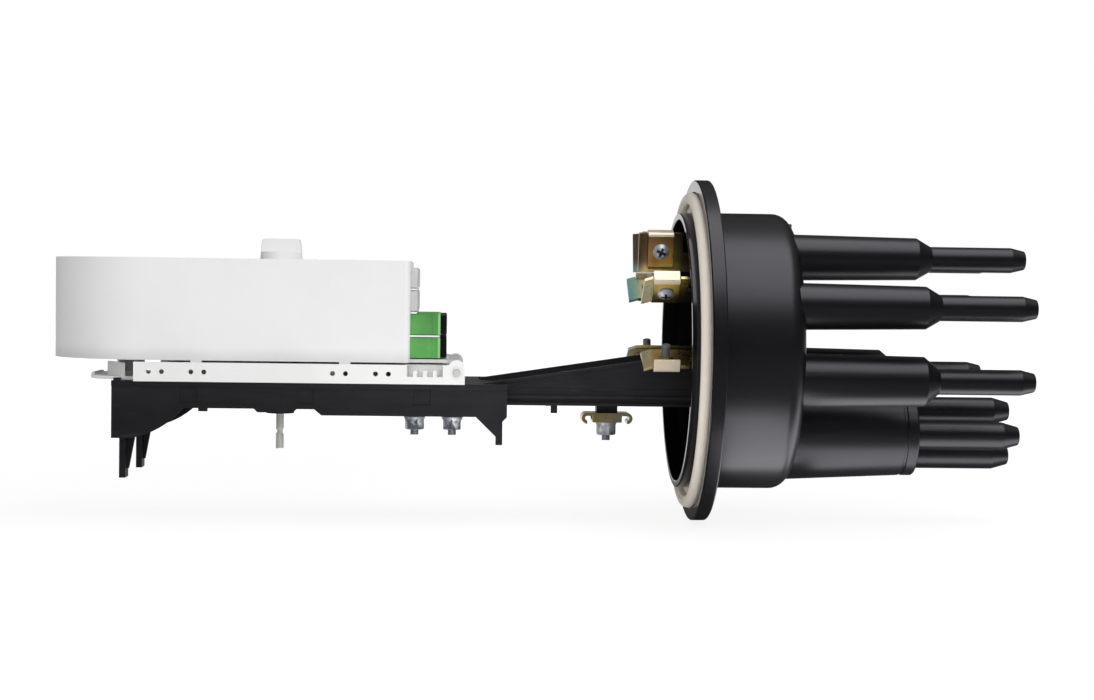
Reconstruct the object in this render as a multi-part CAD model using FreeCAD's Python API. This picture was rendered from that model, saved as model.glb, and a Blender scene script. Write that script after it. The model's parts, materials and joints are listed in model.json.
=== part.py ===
import FreeCAD, Part
import math
import os

# Fibre splice closure without its dome, in millimetres.
# Origin: centre of the flange's seal face. +X runs towards the cable ports, +Z is up.

Vec = FreeCAD.Vector

# Joined solids run this far into each other, and cuts this far past the face they open
overlap = 1.0
overshoot = 1.0
pick_tolerance = 0.01

# Base moulding: flange, collar, drum
flange_radius = 79.5
flange_thickness = 6.6
flange_edge_round = 0.6
flange_face_width = 15.4
collar_length = 6.9
base_wall = 3.0
drum_step = 0.2
drum_length = 37.9
drum_shoulder = 8.0
end_wall = 4.0
gate_mark_radius = 1.2
gate_mark_height = 2.1
gate_mark_inset = 5.7

# Seal ring in its groove on the flange face
seal_inset = 8.7
seal_section_radius = 2.9
seal_section_sides = 8
seal_groove_depth = 1.7
seal_groove_clearance = 0.3

# Round cable ports: stepped tubes with closed tips, set in from the drum's outside at an angle
port_wall = 2.0
port_end_wall = 3.0
port_length = 105.4
port_barrel_length = 55.0
port_cone_length = 6.6
port_tip_length = 6.5
port_nozzle_radius = 5.75
port_tip_radius = 4.2
port_tip_round = 0.8
upper_port_radius = 10.5
upper_port_end_radius = 9.6
upper_port_inset = 13.0
upper_port_angle = 58.5
side_port_inset = 11.6
side_port_angle = 24.3
lower_port_radius = 12.2
lower_port_end_radius = 11.2
lower_port_inset = 16.1
lower_port_angle = -13.7

# Wide port at the bottom with three nozzles on its end
wide_port_radius = 22.3
wide_port_end_radius = 19.8
wide_port_inset = 26.3
wide_port_barrel_length = 54.0
wide_port_wall = 2.2
wide_port_groove_width = 1.4
wide_port_groove_depth = 0.7
wide_port_cap_length = 5.2
wide_nozzle_count = 3
wide_nozzle_circle = 12.2
wide_nozzle_radius = 6.4
wide_nozzle_length = 47.8
wide_nozzle_tip_length = 7.8
wide_nozzle_tip_radius = 4.2

# Chassis deck and skirts
deck_top = -15.3
deck_thickness = 2.4
deck_left = -263.0
deck_right = -87.0
deck_half_width = 38.8
skirt_inset = 0.8
skirt_thickness = 2.2
skirt_left_drop = 25.7
skirt_left_land = 8.0
skirt_arch_end = 31.5
skirt_arch_bulge = 2.6
skirt_drop = 12.0
skirt_nub_offset = 38.4
skirt_nub_length = 4.0
skirt_nub_drop = 1.4
skirt_pad_offset = 63.0
skirt_pad_length = 19.0
skirt_pad_drop = 1.6
skirt_right_offset = 93.0
skirt_right_drop = 14.7
foot_drop = 27.2
foot_width = 3.0
foot_back = 2.0
foot_slope = 9.0
foot_gusset_gap = 3.7
hatch_centres = (34.0, 85.7, 137.8)
hatch_length = 7.8
hatch_height = 7.4
hatch_depth = 0.5
deck_tooth_offset = 1.0
deck_tooth_length = 3.0
deck_tooth_width = 4.0
deck_tooth_height = 1.2
deck_rib_thickness = 1.8
deck_rib_drop = 10.0
deck_rib_offsets = (35.0, 80.0, 113.0)
deck_long_rib_y = 14.0
trough_start = -99.0
trough_recess = 1.0
trough_edge = 2.8

# Legs under the chassis' free end
leg_offset = 2.3
leg_thickness = 2.8
leg_width = 9.0
leg_y = 25.0
leg_drop = 44.2
leg_fin_thickness = 2.0
leg_fin_top = 11.0
leg_fin_waist = 3.7
leg_fin_bottom_gap = 4.0

# Beam from the deck into the drum
beam_side_gap = 33.1
beam_web_thickness = 2.4
beam_bottom = -25.0
beam_root_length = 2.0
beam_slope_start = -97.0
beam_slope_end = -10.0
beam_crest = -1.7
beam_step = 0.2
beam_lip_height = 1.2
beam_lip_width = 1.4
beam_rib_z = -21.8
beam_line_z = -17.9
beam_line_height = 0.5
beam_line_width = 0.4
root_plate_thickness = 3.0
root_plate_bottom = -17.0
root_screw_inset = 9.0
root_screw_z = -7.5
root_screw_depth = 2.6
peg_x = -65.3
peg_radius = 1.5
peg_length = 3.5

# Screws and nuts, M4
screw_radius = 2.0
screw_hole_clearance = 0.15
screw_head_radius = 3.7
screw_head_height = 2.4
screw_head_bevel = 1.2
nut_flange_radius = 5.0
nut_flange_height = 1.9
nut_height = 4.2
nut_half_flats = 4.0
bolt_end_length = 2.5

# Bolts that hold the tray on the deck
bolt_x = (-128.9, -111.4)
bolt_boss_radius = 6.5
bolt_boss_bottom = -32.3
bolt_head_clearance = 0.5

# Splice tray
tray_left = -252.5
tray_right = -113.4
tray_half_width = 44.0
tray_height = 8.6
tray_wall = 1.5
tray_floor = 1.5
tray_tab_length = 23.6
tray_tab_half_width = 31.0
tray_tab_corner = 18.6
tray_tab_lip = 0.9
tray_end_wall_reach = 16.0
tray_end_wall_y = 14.75
tray_entry_gap = 12.5
tray_end_wall_drop = 1.0
tray_hole_radius = 1.1
tray_hole_height = 4.4
tray_hole_pitch = 5.7
tray_hole_offsets = (9.5, 28.1, 90.5, 109.5)
tray_slot_count = 4
tray_slot_width = 2.7
tray_slot_pitch = 4.4
tray_slot_depth = 5.3
tray_slot_start = 120.6
tray_comb_drop = 2.5
tray_baffle_gap = 4.5
tray_baffle_lap = 1.0
tray_guide_radius = 17.0
tray_guide_wall = 1.4
tray_guide_height = 5.5
tray_guide_x = (-226.0, -150.5)

# Hinge between tray and patch box
ear_length = 7.4
ear_thickness = 2.8
ear_height = 11.0
ear_inset = 0.2
ear_ring_gap = 0.6
ear_ring_width = 0.5
ear_ring_depth = 0.4
hinge_height = 5.2
hinge_pin_radius = 1.7
hinge_pin_overhang = 0.4
hinge_clearance = 0.1
knuckle_wall = 1.5
knuckle_width = 8.0
knuckle_y = 32.0

# Splice combs in the tray
comb_x = -178.0
comb_y = 30.0
comb_length = 36.0
comb_width = 17.0
comb_base = 1.0
comb_gap_length = 12.0
comb_fin_count = 6
comb_fin_width = 1.0
comb_fin_height = 4.2

# Patch box
box_left = -294.0
box_right = -130.7
box_half_width = 44.0
box_bottom = -5.8
box_top = 39.5
box_wall = 2.2
box_floor = 2.0
box_corner_round = 3.0
box_corner_least = 0.4
box_foot_offsets = (69.0, 134.5)
box_foot_length = 5.0
tongue_length = 16.7
tongue_thickness = 1.6
tongue_half_width = 40.0
lid_thickness = 2.0
lid_ledge = 1.1
lid_clearance = 0.2
sleeve_radius = 4.5
sleeve_clearance = 0.5

# Adapter panel: columns across Y, rows up Z
adapter_columns = 6
adapter_rows = 2
blank_rows = 2
adapter_pitch_y = 13.8
adapter_pitch_z = 10.4
adapter_floor_gap = 0.15
adapter_width = 12.8
adapter_height = 9.05
adapter_reach = 13.4
adapter_depth = 14.0
adapter_clearance = 0.1
socket_width = 9.4
socket_height = 7.2
socket_depth = 12.0
adapter_key_width = 4.0
adapter_key_depth = 0.5
cap_length = 2.9
cap_width = 11.4
cap_height = 8.3
cap_bevel = 0.5
cap_plug_length = 9.0
cap_clearance = 0.3
blank_reach = 3.1
blank_width = 12.6
blank_height = 9.0
blank_plug_length = 6.0
blank_wall = 1.2
shelf_thickness = 0.8
shelf_setback = 0.3

# Retaining screw with its knob
retainer_x = -191.3
knob_radius = 9.8
knob_top_radius = 9.0
knob_height = 9.8
knob_round = 1.8
knob_base_height = 3.4
knob_seat_clearance = 0.3
knob_rib_width = 5.6
retainer_radius = 1.95
retainer_end = -47.8
retainer_waist_radius = 1.3
retainer_waist_top = -38.8
retainer_waist_length = 2.3
retainer_boss_radius = 6.5
retainer_boss_bottom = -31.5

# Cable clamps: strip, saddle and screw
strip_thickness = 1.5
strip_width = 18.5
strip_left = -22.4
strip_lip_length = 4.2
strip_lip_rise = 1.4
strip_tail_start = -6.0
strip_foot_length = 8.0
strip_foot_hole_inset = 4.4
strip_collar_radius = 3.3
strip_collar_height = 1.4
clamp_screw_x = -16.4
clamp_screw_offset = 0.8
saddle_length = 11.8
saddle_thickness = 1.4
saddle_height = 2.0
saddle_bend = 1.8
saddle_bend_steps = 3
saddle_edge_clearance = 0.3
saddle_proud = 0.4
saddle_inner_inset = 1.2
saddle_wrap = 4.2
clamp_tail_length = 5.0

# Each clamp's place: set in from the drum's inside, at an angle, and rolled about X
upper_clamp_inset = 13.8
upper_clamp_angle = 73.8
upper_clamp_roll_angle = 15.0
side_clamp_inset = 14.8
side_clamp_angle = 37.0
side_clamp_roll_angle = 55.5
lower_clamp_inset = 21.4
lower_clamp_angle = -5.1
lower_clamp_roll_angle = 111.0

# Clamp plate under the beam
under_clamp_x = -39.3
under_boss_half_width = 4.85
under_boss_bottom = -29.5
under_plate_length = 23.7
under_plate_width = 14.0
under_plate_thickness = 1.5
under_curl_radius = 2.6
under_saddle_length = 13.7
under_saddle_height = 3.0
under_saddle_thickness = 1.3

# Places that follow from the sizes above
collar_radius = flange_radius - flange_face_width
drum_radius = collar_radius + drum_step
inner_radius = collar_radius - base_wall
seal_centre_radius = flange_radius - seal_inset
drum_end = flange_thickness + drum_length
inner_floor = drum_end - end_wall
wide_port_z = wide_port_inset - drum_radius
beam_half_width = inner_radius - beam_side_gap
root_screw_y = beam_half_width - root_screw_inset
deck_bottom = deck_top - deck_thickness
trough_floor = deck_top - trough_recess
under_top = deck_top - overlap
skirt_half_width = deck_half_width - skirt_inset
tray_floor_top = deck_top + tray_floor
tray_top = deck_top + tray_height
hinge_x = tray_right + ear_length / 2 - ear_inset
hinge_z = deck_top + hinge_height
lid_bottom = box_top - lid_thickness
panel_inner = box_right - box_wall
adapter_end = box_right + adapter_reach
adapter_first_z = box_bottom + box_floor + adapter_floor_gap + adapter_height / 2
screw_hole_radius = screw_radius + screw_hole_clearance


def block(x0, x1, y0, y1, z0, z1):
    return Part.makeBox(x1 - x0, y1 - y0, z1 - z0, Vec(x0, y0, z0))


def rod_x(x0, x1, y, z, radius):
    return Part.makeCylinder(radius, x1 - x0, Vec(x0, y, z), Vec(1, 0, 0))


def rod_y(x, y0, y1, z, radius):
    return Part.makeCylinder(radius, y1 - y0, Vec(x, y0, z), Vec(0, 1, 0))


def rod_z(x, y, z0, z1, radius):
    return Part.makeCylinder(radius, z1 - z0, Vec(x, y, z0), Vec(0, 0, 1))


def closed_face(points):
    return Part.Face(Part.makePolygon(points + [points[0]]))


def side_plate(outline, y0, y1):
    """Plate between y0 and y1 with an outline of (x, z) corners."""
    face = closed_face([Vec(x, y0, z) for x, z in outline])
    return face.extrude(Vec(0, y1 - y0, 0))


def turned(outline, y=0.0, z=0.0):
    """Solid turned about the line through (y, z) along X, from (x, radius) corners."""
    face = closed_face([Vec(x, y, z + radius) for x, radius in outline])
    return face.revolve(Vec(0, y, z), Vec(1, 0, 0), 360)


def wall_span(side, outer, thickness):
    """From low to high y of a wall whose outer face is at side * outer."""
    return sorted((side * outer, side * (outer - thickness)))


def edges_at_x(shape, x):
    return [edge for edge in shape.Edges if abs(edge.CenterOfMass.x - x) < pick_tolerance]


def mirrored(shape):
    return shape.mirror(Vec(0, 0, 0), Vec(0, 1, 0))


def fuse(shapes):
    return shapes[0].multiFuse(shapes[1:]).removeSplitter()


def write(name, shape):
    shape.exportStep(os.path.join("parts", name + ".step"))


def group(shapes):
    return Part.makeCompound(shapes)


# Base body
def base_shell():
    groove_inner = seal_centre_radius - seal_section_radius - seal_groove_clearance
    groove_outer = seal_centre_radius + seal_section_radius + seal_groove_clearance
    shoulder_start = drum_end - drum_shoulder
    shoulder_radius = drum_radius - drum_shoulder
    bend = math.sqrt(0.5)
    corners = [
        (-collar_length, inner_radius),
        (-collar_length, collar_radius),
        (0, collar_radius),
        (0, groove_inner),
        (seal_groove_depth, groove_inner),
        (seal_groove_depth, groove_outer),
        (0, groove_outer),
        (0, flange_radius - flange_edge_round),
        (flange_edge_round, flange_radius),
        (flange_thickness - flange_edge_round, flange_radius),
        (flange_thickness, flange_radius - flange_edge_round),
        (flange_thickness, drum_radius),
        (shoulder_start, drum_radius),
    ]
    points = [Vec(x, 0, radius) for x, radius in corners]
    edges = [Part.makeLine(a, b) for a, b in zip(points, points[1:])]
    arc_middle = Vec(shoulder_start + drum_shoulder * bend, 0, shoulder_radius + drum_shoulder * bend)
    arc_end = Vec(drum_end, 0, shoulder_radius)
    edges.append(Part.Arc(points[-1], arc_middle, arc_end).toShape())
    closing = [
        arc_end,
        Vec(drum_end, 0, 0),
        Vec(inner_floor, 0, 0),
        Vec(inner_floor, 0, inner_radius),
        points[0],
    ]
    edges += [Part.makeLine(a, b) for a, b in zip(closing, closing[1:])]
    return Part.Face(Part.Wire(edges)).revolve(Vec(0, 0, 0), Vec(1, 0, 0), 360)


def port_outside(y, z, radius, end_radius):
    barrel_end = drum_end + port_barrel_length
    nozzle_start = barrel_end + port_cone_length
    tip = drum_end + port_length
    return turned([
        (inner_floor, 0),
        (inner_floor, radius),
        (barrel_end, end_radius),
        (nozzle_start, port_nozzle_radius),
        (tip - port_tip_length, port_nozzle_radius),
        (tip - port_tip_round, port_tip_radius + port_tip_round / 2),
        (tip, port_tip_radius - port_tip_round / 2),
        (tip, 0),
    ], y, z)


def port_bore(y, z, end_radius):
    """Drilled bore: wide through the barrel, narrow through the nozzle, closed at the tip."""
    wide = end_radius - port_wall
    narrow = port_nozzle_radius - port_wall
    barrel_end = drum_end + port_barrel_length - port_wall
    tip = drum_end + port_length - port_end_wall
    return turned([
        (inner_floor - end_wall, 0),
        (inner_floor - end_wall, wide),
        (barrel_end, wide),
        (barrel_end + port_cone_length, narrow),
        (tip, narrow),
        (tip, 0),
    ], y, z)


def wide_nozzle_places():
    for index in range(wide_nozzle_count):
        angle = math.radians(180 + 360 * index / wide_nozzle_count)
        yield wide_nozzle_circle * math.cos(angle), wide_port_z + wide_nozzle_circle * math.sin(angle)


def wide_port_outside():
    groove_start = drum_end + wide_port_barrel_length
    cap_start = groove_start + wide_port_groove_width
    cap_end = cap_start + wide_port_cap_length
    groove_radius = wide_port_end_radius - wide_port_groove_depth
    edge = wide_port_groove_depth
    barrel = turned([
        (inner_floor, 0),
        (inner_floor, wide_port_radius),
        (groove_start - edge, wide_port_end_radius),
        (groove_start, groove_radius),
        (cap_start, groove_radius),
        (cap_start + edge / 2, wide_port_end_radius),
        (cap_end - edge, wide_port_end_radius),
        (cap_end, wide_port_end_radius - edge),
        (cap_end, 0),
    ], 0, wide_port_z)
    tip = cap_end + wide_nozzle_length
    nozzles = [turned([
        (cap_start, 0),
        (cap_start, wide_nozzle_radius),
        (tip - wide_nozzle_tip_length, wide_nozzle_radius),
        (tip - port_tip_round, wide_nozzle_tip_radius + port_tip_round / 2),
        (tip, wide_nozzle_tip_radius - port_tip_round / 2),
        (tip, 0),
    ], y, z) for y, z in wide_nozzle_places()]
    return [barrel] + nozzles


def wide_port_bores():
    groove_start = drum_end + wide_port_barrel_length
    cap_end = groove_start + wide_port_groove_width + wide_port_cap_length
    bore_end = cap_end - port_end_wall
    bore_radius = wide_port_end_radius - wide_port_groove_depth - wide_port_wall
    main = rod_x(inner_floor - end_wall, bore_end, 0, wide_port_z, bore_radius)
    tip = cap_end + wide_nozzle_length - port_end_wall
    nozzle_bore = wide_nozzle_radius - port_wall - port_tip_round
    return [main] + [rod_x(bore_end - overlap, tip, y, z, nozzle_bore) for y, z in wide_nozzle_places()]


def polar(radius, angle):
    return radius * math.cos(math.radians(angle)), radius * math.sin(math.radians(angle))


def round_ports():
    for inset, angle, radius, end_radius in (
        (upper_port_inset, upper_port_angle, upper_port_radius, upper_port_end_radius),
        (side_port_inset, side_port_angle, upper_port_radius, upper_port_end_radius),
        (lower_port_inset, lower_port_angle, lower_port_radius, lower_port_end_radius),
    ):
        y, z = polar(drum_radius - inset, angle)
        for side in (-1, 1):
            yield side * y, z, radius, end_radius


def root_screw_places():
    return [(side * root_screw_y, root_screw_z) for side in (-1, 1)]


def floor_hole(y, z):
    """Blind screw hole in the drum's inner floor."""
    depth = root_screw_depth + screw_hole_clearance
    return rod_x(inner_floor - overshoot, inner_floor + depth, y, z, screw_hole_radius)


def base_body():
    gate_z = drum_radius - gate_mark_inset
    gate_mark = rod_x(inner_floor, drum_end + gate_mark_height, 0, gate_z, gate_mark_radius)
    outside = [base_shell(), gate_mark]
    outside += [port_outside(*port) for port in round_ports()]
    outside += wide_port_outside()
    bores = [port_bore(y, z, end_radius) for y, z, _, end_radius in round_ports()]
    bores += wide_port_bores()
    holes = [floor_hole(y, z) for y, z in root_screw_places()]
    holes += [strip_foot_hole(clamp, side) for clamp in clamps for side in (-1, 1)]
    return fuse(outside).cut(group(bores + holes))


def seal_ring():
    """Ring of rounded section, flat where it sits in the groove."""
    centre_x = seal_groove_depth - seal_section_radius
    half_side = math.pi / seal_section_sides
    corner_radius = seal_section_radius / math.cos(half_side)
    corners = []
    for index in range(seal_section_sides):
        angle = (2 * index + 1) * half_side
        x = centre_x + corner_radius * math.cos(angle)
        corners.append((x, seal_centre_radius + corner_radius * math.sin(angle)))
    return turned(corners)


# Chassis
def skirt_outline():
    """Side view of one skirt: a short drop at the left, an arch, steps, and a foot at the right."""
    bottom = deck_top - skirt_drop
    pad = bottom - skirt_pad_drop
    right_bottom = deck_top - skirt_right_drop
    foot_bottom = deck_top - foot_drop
    left_bottom = deck_top - skirt_left_drop
    foot_right = deck_right - foot_back
    arch_start = deck_left + skirt_left_land
    arch_end = deck_left + skirt_arch_end
    nub = deck_left + skirt_nub_offset
    pad_start = deck_left + skirt_pad_offset
    step = deck_left + skirt_right_offset
    start = Vec(arch_start, 0, left_bottom)
    end = Vec(arch_end, 0, bottom)
    chord = end.sub(start)
    outward = Vec(chord.z, 0, -chord.x).normalize()
    middle = start.add(chord * 0.5).add(outward * skirt_arch_bulge)
    after = [
        (nub, bottom),
        (nub, bottom - skirt_nub_drop),
        (nub + skirt_nub_length, bottom - skirt_nub_drop),
        (nub + skirt_nub_length, bottom),
        (pad_start, bottom),
        (pad_start + skirt_pad_drop, pad),
        (pad_start + skirt_pad_length - skirt_pad_drop, pad),
        (pad_start + skirt_pad_length, bottom),
        (step - 2 * skirt_pad_drop, bottom),
        (step, right_bottom),
        (foot_right - foot_width - foot_slope, right_bottom),
        (foot_right - foot_width, foot_bottom + foot_gusset_gap),
        (foot_right - foot_width, foot_bottom),
        (foot_right, foot_bottom),
        (foot_right, right_bottom - foot_back),
        (deck_right, right_bottom),
        (deck_right, deck_top),
        (deck_left, deck_top),
        (deck_left, left_bottom),
    ]
    points = [end] + [Vec(x, 0, z) for x, z in after] + [start]
    edges = [Part.makeLine(a, b) for a, b in zip(points, points[1:])]
    edges.append(Part.Arc(start, middle, end).toShape())
    return Part.Face(Part.Wire(edges))


def deck_legs():
    x0 = deck_left + leg_offset
    x1 = x0 + leg_thickness
    bottom = deck_top - leg_drop
    fin = [
        (x1 - overlap, under_top),
        (x1 + leg_fin_top, under_top),
        (x1 + leg_fin_waist, deck_top - skirt_left_drop),
        (x1 + overlap, bottom + leg_fin_bottom_gap),
        (x1 - overlap, bottom + leg_fin_bottom_gap),
    ]
    pieces = []
    for side in (-1, 1):
        y = side * leg_y
        pieces.append(block(x0, x1, y - leg_width / 2, y + leg_width / 2, bottom, under_top))
        pieces.append(side_plate(fin, y - leg_fin_thickness / 2, y + leg_fin_thickness / 2))
    return pieces


def deck_pieces():
    skirt = skirt_outline().extrude(Vec(0, skirt_thickness, 0))
    near_skirt = skirt.translated(Vec(0, -skirt_half_width, 0))
    far_skirt = skirt.translated(Vec(0, skirt_half_width - skirt_thickness, 0))
    inside = skirt_half_width - overlap
    trough_half = deck_half_width - trough_edge
    deck = block(deck_left, deck_right, -deck_half_width, deck_half_width, deck_bottom, deck_top)
    trough = block(trough_start, deck_right + overshoot, -trough_half, trough_half,
                   trough_floor, deck_top + overshoot)
    pieces = [
        deck.cut(trough),
        near_skirt,
        far_skirt,
        block(deck_left, deck_left + skirt_thickness, -inside, inside, deck_top - skirt_drop, under_top),
        block(deck_right - skirt_thickness, deck_right, -inside, inside,
              deck_top - skirt_right_drop, under_top),
    ]
    rib_bottom = deck_top - deck_rib_drop
    for offset in deck_rib_offsets:
        x = deck_left + offset
        pieces.append(block(x, x + deck_rib_thickness, -inside, inside, rib_bottom, under_top))
    half = deck_rib_thickness / 2
    for y in (-deck_long_rib_y, deck_long_rib_y):
        pieces.append(block(deck_left + overlap, deck_right - overlap, y - half, y + half,
                            rib_bottom, under_top))
    tooth_left = deck_left + deck_tooth_offset
    for side in (-1, 1):
        y0, y1 = wall_span(side, deck_half_width, deck_tooth_width)
        pieces.append(block(tooth_left, tooth_left + deck_tooth_length, y0, y1,
                            under_top, deck_top + deck_tooth_height))
    pieces.append(rod_z(retainer_x, 0, retainer_boss_bottom, under_top, retainer_boss_radius))
    pieces += [rod_z(x, 0, bolt_boss_bottom, under_top, bolt_boss_radius) for x in bolt_x]
    return pieces


def hatch_recesses():
    """Shallow square recesses in the outer faces of both skirts, under the deck's edge."""
    for centre in hatch_centres:
        x = deck_left + centre
        for side in (-1, 1):
            y0, y1 = wall_span(side, skirt_half_width + overshoot, hatch_depth + overshoot)
            yield block(x - hatch_length / 2, x + hatch_length / 2, y0, y1,
                        deck_bottom - hatch_height, deck_bottom)


def beam_pieces():
    web_inner = beam_half_width - beam_web_thickness
    beam_left = beam_slope_start - beam_root_length
    floor_left = deck_right - overlap
    floor_half = web_inner + overlap
    web = [
        (beam_left, beam_bottom),
        (inner_floor, beam_bottom),
        (inner_floor, beam_crest),
        (beam_slope_end, beam_crest),
        (beam_slope_start, deck_top + beam_step),
        (beam_left, under_top),
    ]
    lip = [
        (beam_slope_start, deck_top + beam_step),
        (beam_slope_end, beam_crest),
        (inner_floor, beam_crest),
        (inner_floor, beam_crest - beam_lip_height),
        (beam_slope_end, beam_crest - beam_lip_height),
        (beam_slope_start, deck_top + beam_step - beam_lip_height),
    ]
    outer = beam_half_width + beam_lip_width
    near = [
        side_plate(web, -beam_half_width, -web_inner),
        side_plate(lip, -outer, -web_inner),
        block(floor_left, inner_floor, -outer, -web_inner, beam_bottom, beam_bottom + beam_lip_height),
        block(floor_left, inner_floor, -outer, -web_inner, beam_rib_z, beam_rib_z + beam_lip_height),
        block(floor_left, inner_floor, -beam_half_width - beam_line_width, -web_inner,
              beam_line_z, beam_line_z + beam_line_height),
        rod_z(peg_x, -beam_half_width + peg_radius, beam_bottom - peg_length, beam_bottom + overlap,
              peg_radius),
    ]
    floor = block(floor_left, inner_floor, -floor_half, floor_half, deck_bottom, trough_floor)
    root = block(inner_floor - root_plate_thickness, inner_floor, -floor_half, floor_half,
                 root_plate_bottom, beam_crest)
    boss = block(under_clamp_x - under_boss_half_width, under_clamp_x + under_boss_half_width,
                 -under_boss_half_width, under_boss_half_width, under_boss_bottom, under_top)
    return near + [mirrored(piece) for piece in near] + [floor, root, boss]


def chassis():
    body = fuse(deck_pieces() + deck_legs() + beam_pieces())
    above = deck_top + overshoot
    holes = [rod_z(x, 0, bolt_boss_bottom - overshoot, above, screw_hole_radius) for x in bolt_x]
    holes.append(rod_z(retainer_x, 0, retainer_boss_bottom - overshoot, above,
                       retainer_radius + screw_hole_clearance))
    holes.append(rod_z(under_clamp_x, 0, under_boss_bottom - overshoot, above, screw_hole_radius))
    root_left = inner_floor - root_plate_thickness - overshoot
    holes += [rod_x(root_left, inner_floor + overshoot, y, z, screw_hole_radius)
              for y, z in root_screw_places()]
    holes += list(hatch_recesses())
    return body.cut(group(holes))


# Fasteners: each is built along +Z with its seat at z = 0, then turned into place
def pan_screw(shank_length):
    """Pan-head screw: the head stands above z = 0 and the shank goes down."""
    head = Part.makeCylinder(screw_head_radius, screw_head_height)
    head = head.makeChamfer(screw_head_bevel, [head.Edges[0]])
    return fuse([head, rod_z(0, 0, -shank_length, 0, screw_radius)])


def hexagon(half_flats, z0, z1):
    radius = half_flats / math.cos(math.pi / 6)
    angles = [index * math.pi / 3 for index in range(6)]
    corners = [Vec(radius * math.cos(angle), radius * math.sin(angle), z0) for angle in angles]
    return closed_face(corners).extrude(Vec(0, 0, z1 - z0))


def flange_nut():
    """Flange nut that hangs below z = 0."""
    bottom = -nut_flange_height - nut_height
    body = fuse([
        rod_z(0, 0, -nut_flange_height, 0, nut_flange_radius),
        hexagon(nut_half_flats, bottom, -nut_flange_height),
    ])
    return body.cut(rod_z(0, 0, bottom - overshoot, overshoot, screw_radius))


def bolt_down(x, seat, nut_seat):
    """Bolt with its head on seat that reaches through a flange nut under nut_seat."""
    length = seat - nut_seat + nut_flange_height + nut_height + bolt_end_length
    return pan_screw(length).translated(Vec(x, 0, seat))


def facing_minus_x(shape, x, y, z):
    turned_shape = shape.copy()
    turned_shape.rotate(Vec(0, 0, 0), Vec(0, 1, 0), -90)
    return turned_shape.translated(Vec(x, y, z))


# Cable clamps, built facing -Y with the strip's face at y = 0, then rolled about X
def clamp_placed(shape, clamp, side):
    distance, height, roll_angle = clamp
    placed = shape.copy()
    placed.rotate(Vec(0, 0, 0), Vec(1, 0, 0), roll_angle)
    placed = placed.translated(Vec(0, -distance, height))
    return placed if side < 0 else mirrored(placed)


def clamp_strip(clamp, side):
    """Strip with a bent lip, a notch for the saddle, a threaded collar and a tail that ends in a foot."""
    half = strip_width / 2
    t = strip_thickness
    back = inner_floor - t
    plate = block(strip_left, strip_tail_start, 0, t, -half, half)
    tail = block(strip_tail_start, inner_floor, 0, t, -half, 0)
    lip = closed_face([
        Vec(strip_left, 0, -half),
        Vec(strip_left - strip_lip_length, -strip_lip_rise, -half),
        Vec(strip_left - strip_lip_length, t - strip_lip_rise, -half),
        Vec(strip_left, t, -half),
    ]).extrude(Vec(0, 0, strip_width))
    foot = block(back, inner_floor, 0, strip_foot_length + t, -half, 0)
    collar = rod_y(clamp_screw_x, 0, t + strip_collar_height, clamp_screw_offset, strip_collar_radius)
    thread = rod_y(clamp_screw_x, -overshoot, t + strip_collar_height + overshoot, clamp_screw_offset,
                   screw_radius)
    foot_y, foot_z = strip_foot_screw()
    foot_hole = rod_x(back - overshoot, inner_floor + overshoot, foot_y, foot_z, screw_hole_radius)
    notch_half = saddle_length / 2 + saddle_edge_clearance
    notch_bottom = half + saddle_proud - saddle_thickness - saddle_edge_clearance
    notch = block(clamp_screw_x - notch_half, clamp_screw_x + notch_half, -strip_lip_rise, t + overshoot,
                  notch_bottom, half + overshoot)
    body = fuse([plate, tail, lip, foot, collar]).cut(group([thread, foot_hole, notch]))
    return clamp_placed(body, clamp, side)


def strip_foot_screw():
    return strip_thickness + strip_foot_hole_inset, -strip_width / 4


def strip_foot_hole(clamp, side):
    return clamp_placed(floor_hole(*strip_foot_screw()), clamp, side)


def strip_foot_screw_placed(clamp, side):
    foot_y, foot_z = strip_foot_screw()
    screw = pan_screw(strip_thickness + root_screw_depth)
    return clamp_placed(facing_minus_x(screw, inner_floor - strip_thickness, foot_y, foot_z), clamp, side)


def bend(y, z, radius, start):
    """Points of a quarter turn about (y, z) that begins at start degrees."""
    for step in range(saddle_bend_steps + 1):
        across, up = polar(radius, start + 90 * step / saddle_bend_steps)
        yield y + across, z + up


def clamp_saddle(clamp, side):
    """Pressed channel: one flange bears on the strip, the other goes through the strip's notch."""
    t = saddle_thickness
    outer = strip_width / 2 + saddle_proud
    inner = -strip_width / 2 + saddle_inner_inset
    x0 = clamp_screw_x - saddle_length / 2
    bend_y = -saddle_height + saddle_bend
    outer_bend = outer - saddle_bend
    inner_bend = inner + saddle_bend
    inside = saddle_bend - t
    section = [(saddle_wrap, outer)]
    section += bend(bend_y, outer_bend, saddle_bend, 90)
    section += bend(bend_y, inner_bend, saddle_bend, 180)
    section += [(0, inner), (0, inner + t)]
    section += reversed(list(bend(bend_y, inner_bend, inside, 180)))
    section += reversed(list(bend(bend_y, outer_bend, inside, 90)))
    section.append((saddle_wrap, outer - t))
    body = closed_face([Vec(x0, y, z) for y, z in section]).extrude(Vec(saddle_length, 0, 0))
    hole = rod_y(clamp_screw_x, -saddle_height - overshoot, overshoot, clamp_screw_offset,
                 screw_hole_radius)
    return clamp_placed(body.cut(hole), clamp, side)


def clamp_screw(clamp, side):
    shank = saddle_height + strip_thickness + strip_collar_height + clamp_tail_length
    screw = pan_screw(shank)
    screw.rotate(Vec(0, 0, 0), Vec(1, 0, 0), 90)
    seated = screw.translated(Vec(clamp_screw_x, -saddle_height, clamp_screw_offset))
    return clamp_placed(seated, clamp, side)


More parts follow.
